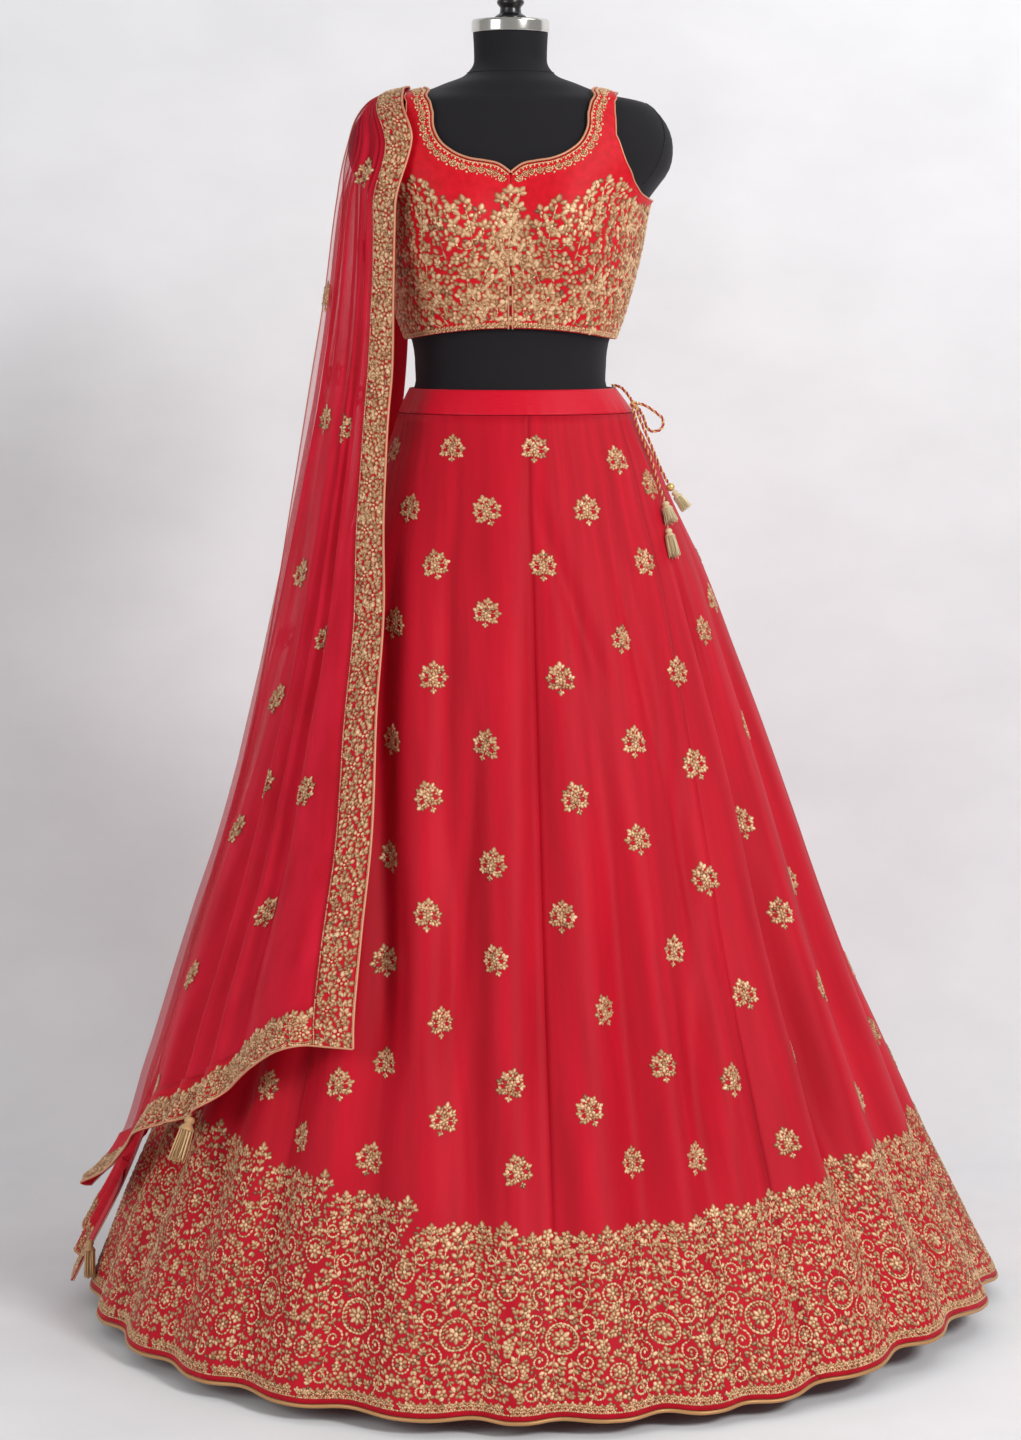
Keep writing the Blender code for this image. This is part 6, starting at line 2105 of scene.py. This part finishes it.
def tassel_mesh(name, top, way, head, length, radius, spread, material, stem=0.0, strands=44):
    way = np.asarray(way, float) / np.linalg.norm(way)
    first = np.cross(way, (0.0, 1.0, 0.0))
    first /= np.linalg.norm(first)
    second = np.cross(way, first)
    bell = [
        (0.30, 0.0), (0.52, 0.08), (0.62, 0.20), (0.62, 0.38), (0.46, 0.50), (0.46, 0.56),
        (0.72, 0.70), (0.94, 0.92), (0.90, 1.0), (0.0, 0.97)
    ]
    if stem > 0:
        bell = [(0.12, -stem / head), (0.12, -0.02)] + bell
    bell = [(0.0, bell[0][1])] + bell
    turn = np.arange(20) * TAU / 20
    ring_way = first[None] * np.cos(turn)[:, None] + second[None] * np.sin(turn)[:, None]
    points = np.concatenate([
        top + way * d * head + ring_way * max(r, 0.001) * radius * (
            1.0 + 0.05 * np.cos(turn * 10.0)[:, None]
        ) for r,
        d in bell
    ])
    parts = [(points, quads(20, len(bell), closed=True))]
    shade = [np.full(len(points), 0.6)]
    for k in range(strands):
        r = radius * 0.86 * np.sqrt((k + 0.5) / strands)
        a = k * 2.39996
        out = first * np.cos(a) + second * np.sin(a)
        at = top + way * head * 0.92 + out * r
        reach = length * RNG.uniform(0.90, 1.06)
        t = np.linspace(0.0, 1.0, 5)[:, None]
        wave = RNG.normal(0.0, 0.03, 3) * length
        line = at + way * t * (
            reach + head * 0.08
        ) + out * r * spread * (t ** 1.3) + wave * np.sin(np.pi * t) * 0.5
        p, f = pipe(line, radius * np.array([0.105, 0.12, 0.12, 0.11, 0.07]), 4)
        parts.append((p, f))
        shade.append(np.repeat(RNG.uniform(0.35, 0.95), len(p)))
    points, faces = gather(parts)
    return make_mesh(name, points, [faces], material, shade=np.concatenate(shade))


def dense(points):
    """A smooth line through points, with six steps from each to the next."""
    n = len(points)
    keyed = [(("at", "value"), tuple((k, float(points[k, c])) for k in range(n))) for c in range(3)]
    at = np.linspace(0, n - 1, (n - 1) * 6 + 1)
    return np.stack([smooth(table, "at", "value", at) for table in keyed], -1)


STRAND_STEP, TWIST_PITCH = 0.0009, 0.0085  # metres between a strand's points, and for one turn of it


def twisted(name, path):
    """Two strands wound round each other, one gold and one red."""
    line = even_path(path, STRAND_STEP)
    along = np.gradient(line, axis=0)
    along = unit(along)
    side = np.cross(along, (0.0, 1.0, 0.0))
    side = unit(side)
    other = np.cross(along, side)
    run = np.arange(len(line)) * STRAND_STEP
    parts = []
    for phase in (0.0, np.pi):
        a = (run / TWIST_PITCH * TAU + phase)[:, None]
        strand = line + (side * np.cos(a) + other * np.sin(a)) * CORD_RADIUS * 0.46
        parts.append(pipe(strand, CORD_RADIUS * 0.56, 6))
    points, faces = gather(parts)
    index = np.repeat([0, 1], [len(parts[0][1]), len(parts[1][1])])
    return make_mesh(name, points, [faces], [CORD_GOLD, CORD_RED], index=index), line


def round_bead(name, centre, radius, material):
    profile = [(0.0, centre[2] - radius)]
    for a in np.linspace(-75.0, 75.0, 13):
        profile.append((radius * np.cos(np.radians(a)), centre[2] + radius * np.sin(np.radians(a))))
    profile.append((0.0, centre[2] + radius))
    made = turned(name, [p for p in profile if p[0] > 0], 20, material, centre=(centre[0], centre[1]))
    made.data.set_sharp_from_angle(angle=np.radians(180.0))
    return made


def knot_mesh(name, centre, radius):
    """Three turns of cord wound into a small ball."""
    t = np.linspace(0.0, 1.0, 90)
    a = t * TAU * 3.0
    lean = np.radians(60.0) * np.sin(t * TAU * 2.0)
    r = radius - CORD_RADIUS * 0.7
    line = np.stack(
        [r * np.cos(a) * np.cos(lean), r * np.sin(a) * np.cos(lean), r * np.sin(lean)], -1
    ) + np.array(centre)
    core = round_bead(name + "_core", centre, radius * 0.72, CORD_RED)
    points, faces = pipe(line, CORD_RADIUS * 0.7, 6)
    return make_mesh(name, points, [faces], CORD_GOLD), core


def build_drawstring():
    knot, core = knot_mesh("cord_knot", KNOT, KNOT_RADIUS)
    piece(knot, "drawstring_cord", "drawstring_knot")
    piece(core, "drawstring_cord")
    ball = piece(
        round_bead("cord_bead", BEAD, BEAD_RADIUS, BEAD_GOLD), "drawstring_bead", "drawstring_bead"
    )
    lead, loop = cord_path(LEAD), cord_path(LOOP)
    tail_short, tail_long = cord_path(TAIL_SHORT), cord_path(TAIL_LONG)
    lead[-1] = meet(KNOT, KNOT_RADIUS, lead[-1])
    for line in (loop, tail_short, tail_long):
        line[0] = meet(KNOT, KNOT_RADIUS, line[0])
    loop[-1] = meet(KNOT, KNOT_RADIUS, loop[-1])
    tail_long[-1] = meet(BEAD, BEAD_RADIUS, tail_long[-1])
    tassels, tops = [], []
    for number, row in enumerate(TASSELS[1]):
        x, y, z, way_x, way_y, head, length, radius, spread, stem = row
        way = np.array([way_x, way_y, -1.0])
        way /= np.linalg.norm(way)
        top = np.array([x, y, z])
        if number == 0:
            top = meet(BEAD, BEAD_RADIUS, np.array(BEAD) + way)
        tops.append(top - way * 2.4 * SEAM_GAP)
        node = "drawstring_tassel_%d" % (number + 1)
        made = tassel_mesh(
            "cord_tassel_%d" % (number + 1), top, way, head, length, radius, spread, PALE_GOLD, stem
        )
        tassels.append(piece(made, "tassel_thread", node))
    tail_short[-1] = tops[1]
    for name, line, end, others in (
        ("lead", lead, "knot", [knot, core]), ("loop", loop, "knot", []),
        ("tail_short", tail_short, "fitting", tassels[1:]),
        ("tail_long", tail_long, "fitting", [ball, tassels[0]]),
    ):
        made, path = twisted("cord_" + name, dense(line))
        piece(made, "drawstring_cord", "drawstring_" + name)


# Head, length, radius and spread of the tassels on the net's two corners that show.
FRONT_TASSEL, BACK_TASSEL = (0.015, 0.0330, 0.0085, 0.25), (0.013, 0.0290, 0.0068, 0.12)


def border_middle(place, along):
    """A point in the middle of the border's thickness."""
    return net_point(place, along) + net_normal(place, along) * (BORDER_OUT + 0.5 * BORDER_WALL)


def level(way):
    """A unit way with no rise."""
    way = way * np.array([1.0, 1.0, 0.0])
    return way / np.linalg.norm(way)


def net_tassel(name, top, lean, sizes):
    way = lean - np.array([0.0, 0.0, 1.0])
    made = tassel_mesh("net_tassel_" + name, top, way, *sizes, OLD_GOLD)
    piece(made, "tassel_thread", "dupatta_tassel_" + name)


def build_dupatta_tassels():
    edge = border_middle(np.array(3.02), np.array(0.0))
    away = level(edge)
    net_tassel("front", edge + away * 0.0012 - np.array([0.0, 0.0, 0.0028]), away * 0.45, FRONT_TASSEL)
    side, at = np.array(1.0 + NET_PLEATS), np.array(1.975)
    across = level(net_point(side, at) - net_point(side - 0.05, at))
    top = border_middle(side, at) + across * 0.0084 + np.array([0.0, 0.0, 0.0060])
    net_tassel("back", top, across * 0.36, BACK_TASSEL)


# The set: a pale mottled backdrop that curves into the floor, soft lamps and the camera.

# Painted shade across the picture's backdrop, on top of its mottle: darker towards the left, where less
# lamp light falls.
BACK_PAINTED_SHADE_LEFT = (0.96, 0.96, 0.96, 1.0)
BACK_PAINTED_SHADE_MIDDLE = (0.97, 0.97, 0.97, 1.0)
BACK_PAINTED_SHADE_RIGHT = (1.0, 1.0, 1.0, 1.0)
# The floor's front edge, where it turns up, the radius of that turn, the wall's top and half its width.
FLOOR_NEAR, FLOOR_FAR, WALL_CURVE, WALL_TOP, WALL_HALF = -3.0, 0.55, 0.35, 3.6, 3.5


def build_stage():
    profile = [(FLOOR_NEAR, 0.0), (FLOOR_FAR, 0.0)]
    for a in np.radians(np.linspace(0.0, 90.0, 12)[1:]):
        profile.append((FLOOR_FAR + WALL_CURVE * np.sin(a), WALL_CURVE * (1.0 - np.cos(a))))
    profile.append((FLOOR_FAR + WALL_CURVE, WALL_TOP))
    points = np.array([(x, y, z) for y, z in profile for x in (-WALL_HALF, WALL_HALF)])
    look = Look("backdrop", 0.9, 0.0, 0.0, (1.0, 1.0, 1.0, 1.0), 0.1)
    mottle = look.ramp(
        look.noise(5.0, 5.0, (1.0, 1.0, 1.6)),
        ((0.30, srgb(232, 233, 235)), (0.70, srgb(240, 241, 243)))
    )
    place = look.node("ShaderNodeTexCoord")
    parts = look.node("ShaderNodeSeparateXYZ")
    look.link(place.outputs["Object"], parts.inputs["Vector"])
    wide = look.node("ShaderNodeMapRange")
    for key, value in (("From Min", -0.75), ("From Max", 0.75), ("To Min", 0.0), ("To Max", 1.0)):
        look.put(wide, key, value)
    look.link(parts.outputs["X"], wide.inputs["Value"])
    # Painted shade: the backdrop's colour is darkened towards the left.
    side = look.ramp(wide.outputs["Result"], ((0.0, BACK_PAINTED_SHADE_LEFT), (0.45, BACK_PAINTED_SHADE_MIDDLE), (1.0, BACK_PAINTED_SHADE_RIGHT)))
    both = look.node("ShaderNodeMix", data_type="RGBA", blend_type="MULTIPLY")
    both.inputs["Factor"].default_value = 1.0
    look.link(mottle, both.inputs["A"])
    look.link(side, both.inputs["B"])
    look.colour(both.outputs["Result"])
    side_of = look.node("ShaderNodeNewGeometry")
    clear = look.node("ShaderNodeBsdfTransparent")
    one_sided = look.node("ShaderNodeMixShader")
    look.link(side_of.outputs["Backfacing"], one_sided.inputs["Fac"])
    look.link(look.shader.outputs["BSDF"], one_sided.inputs[1])
    look.link(clear.outputs["BSDF"], one_sided.inputs[2])
    look.link(one_sided.outputs["Shader"], look.tree.nodes["Material Output"].inputs["Surface"])
    made = make_mesh("backdrop", points, [quads(2, len(profile))], look.material)


# Each lamp's place, the point it looks at, the side of its square face and its power in watts.
LAMPS = (
    ("key", (2.3, -2.9, 2.5), (0.0, 0.0, 0.70), 0.9, 91.0),
    ("fill", (-2.6, -2.6, 1.8), (0.0, 0.0, 0.7), 1.6, 38.0),
    ("wall", (1.3, -0.4, 2.6), (0.7, 0.9, 0.9), 1.2, 8.0),
)
SKY_STRENGTH = 0.37
CAMERA_PLACE, CAMERA_TILT = (0.0, -4.0, 1.15), 83.0
LENS, SENSOR = 89.19, 36.0


def lamp(name, place, aim, size, power):
    data = bpy.data.lights.new(name, "AREA")
    data.shape = "RECTANGLE"
    data.size, data.size_y = size, size
    data.energy = power
    made = bpy.data.objects.new(name, data)
    way = np.array(aim, float) - np.array(place, float)
    made.location = place
    made.rotation_euler = Vector(way).to_track_quat("-Z", "Y").to_euler()
    bpy.context.scene.collection.objects.link(made)


def build_lights():
    world = bpy.data.worlds.new("studio")
    world.use_nodes = True
    world.node_tree.nodes["Background"].inputs["Color"].default_value = (1.0, 1.0, 1.0, 1.0)
    world.node_tree.nodes["Background"].inputs["Strength"].default_value = SKY_STRENGTH
    bpy.context.scene.world = world
    for row in LAMPS:
        lamp(*row)
    view = bpy.context.scene.view_settings
    view.view_transform = "Standard"
    view.look = "None"
    view.exposure = 0.0
    view.gamma = 1.0


def build_camera():
    data = bpy.data.cameras.new("camera")
    data.lens = LENS
    data.sensor_width = SENSOR
    data.clip_start, data.clip_end = 0.05, 50.0
    made = bpy.data.objects.new("camera", data)
    made.location = CAMERA_PLACE
    made.rotation_euler = (np.radians(CAMERA_TILT), 0.0, 0.0)
    bpy.context.scene.collection.objects.link(made)
    bpy.context.scene.camera = made


build_form()
build_choli()
build_skirt()
build_waistband()
build_dupatta()
build_drawstring()
build_dupatta_tassels()
build_stage()
build_lights()
build_camera()
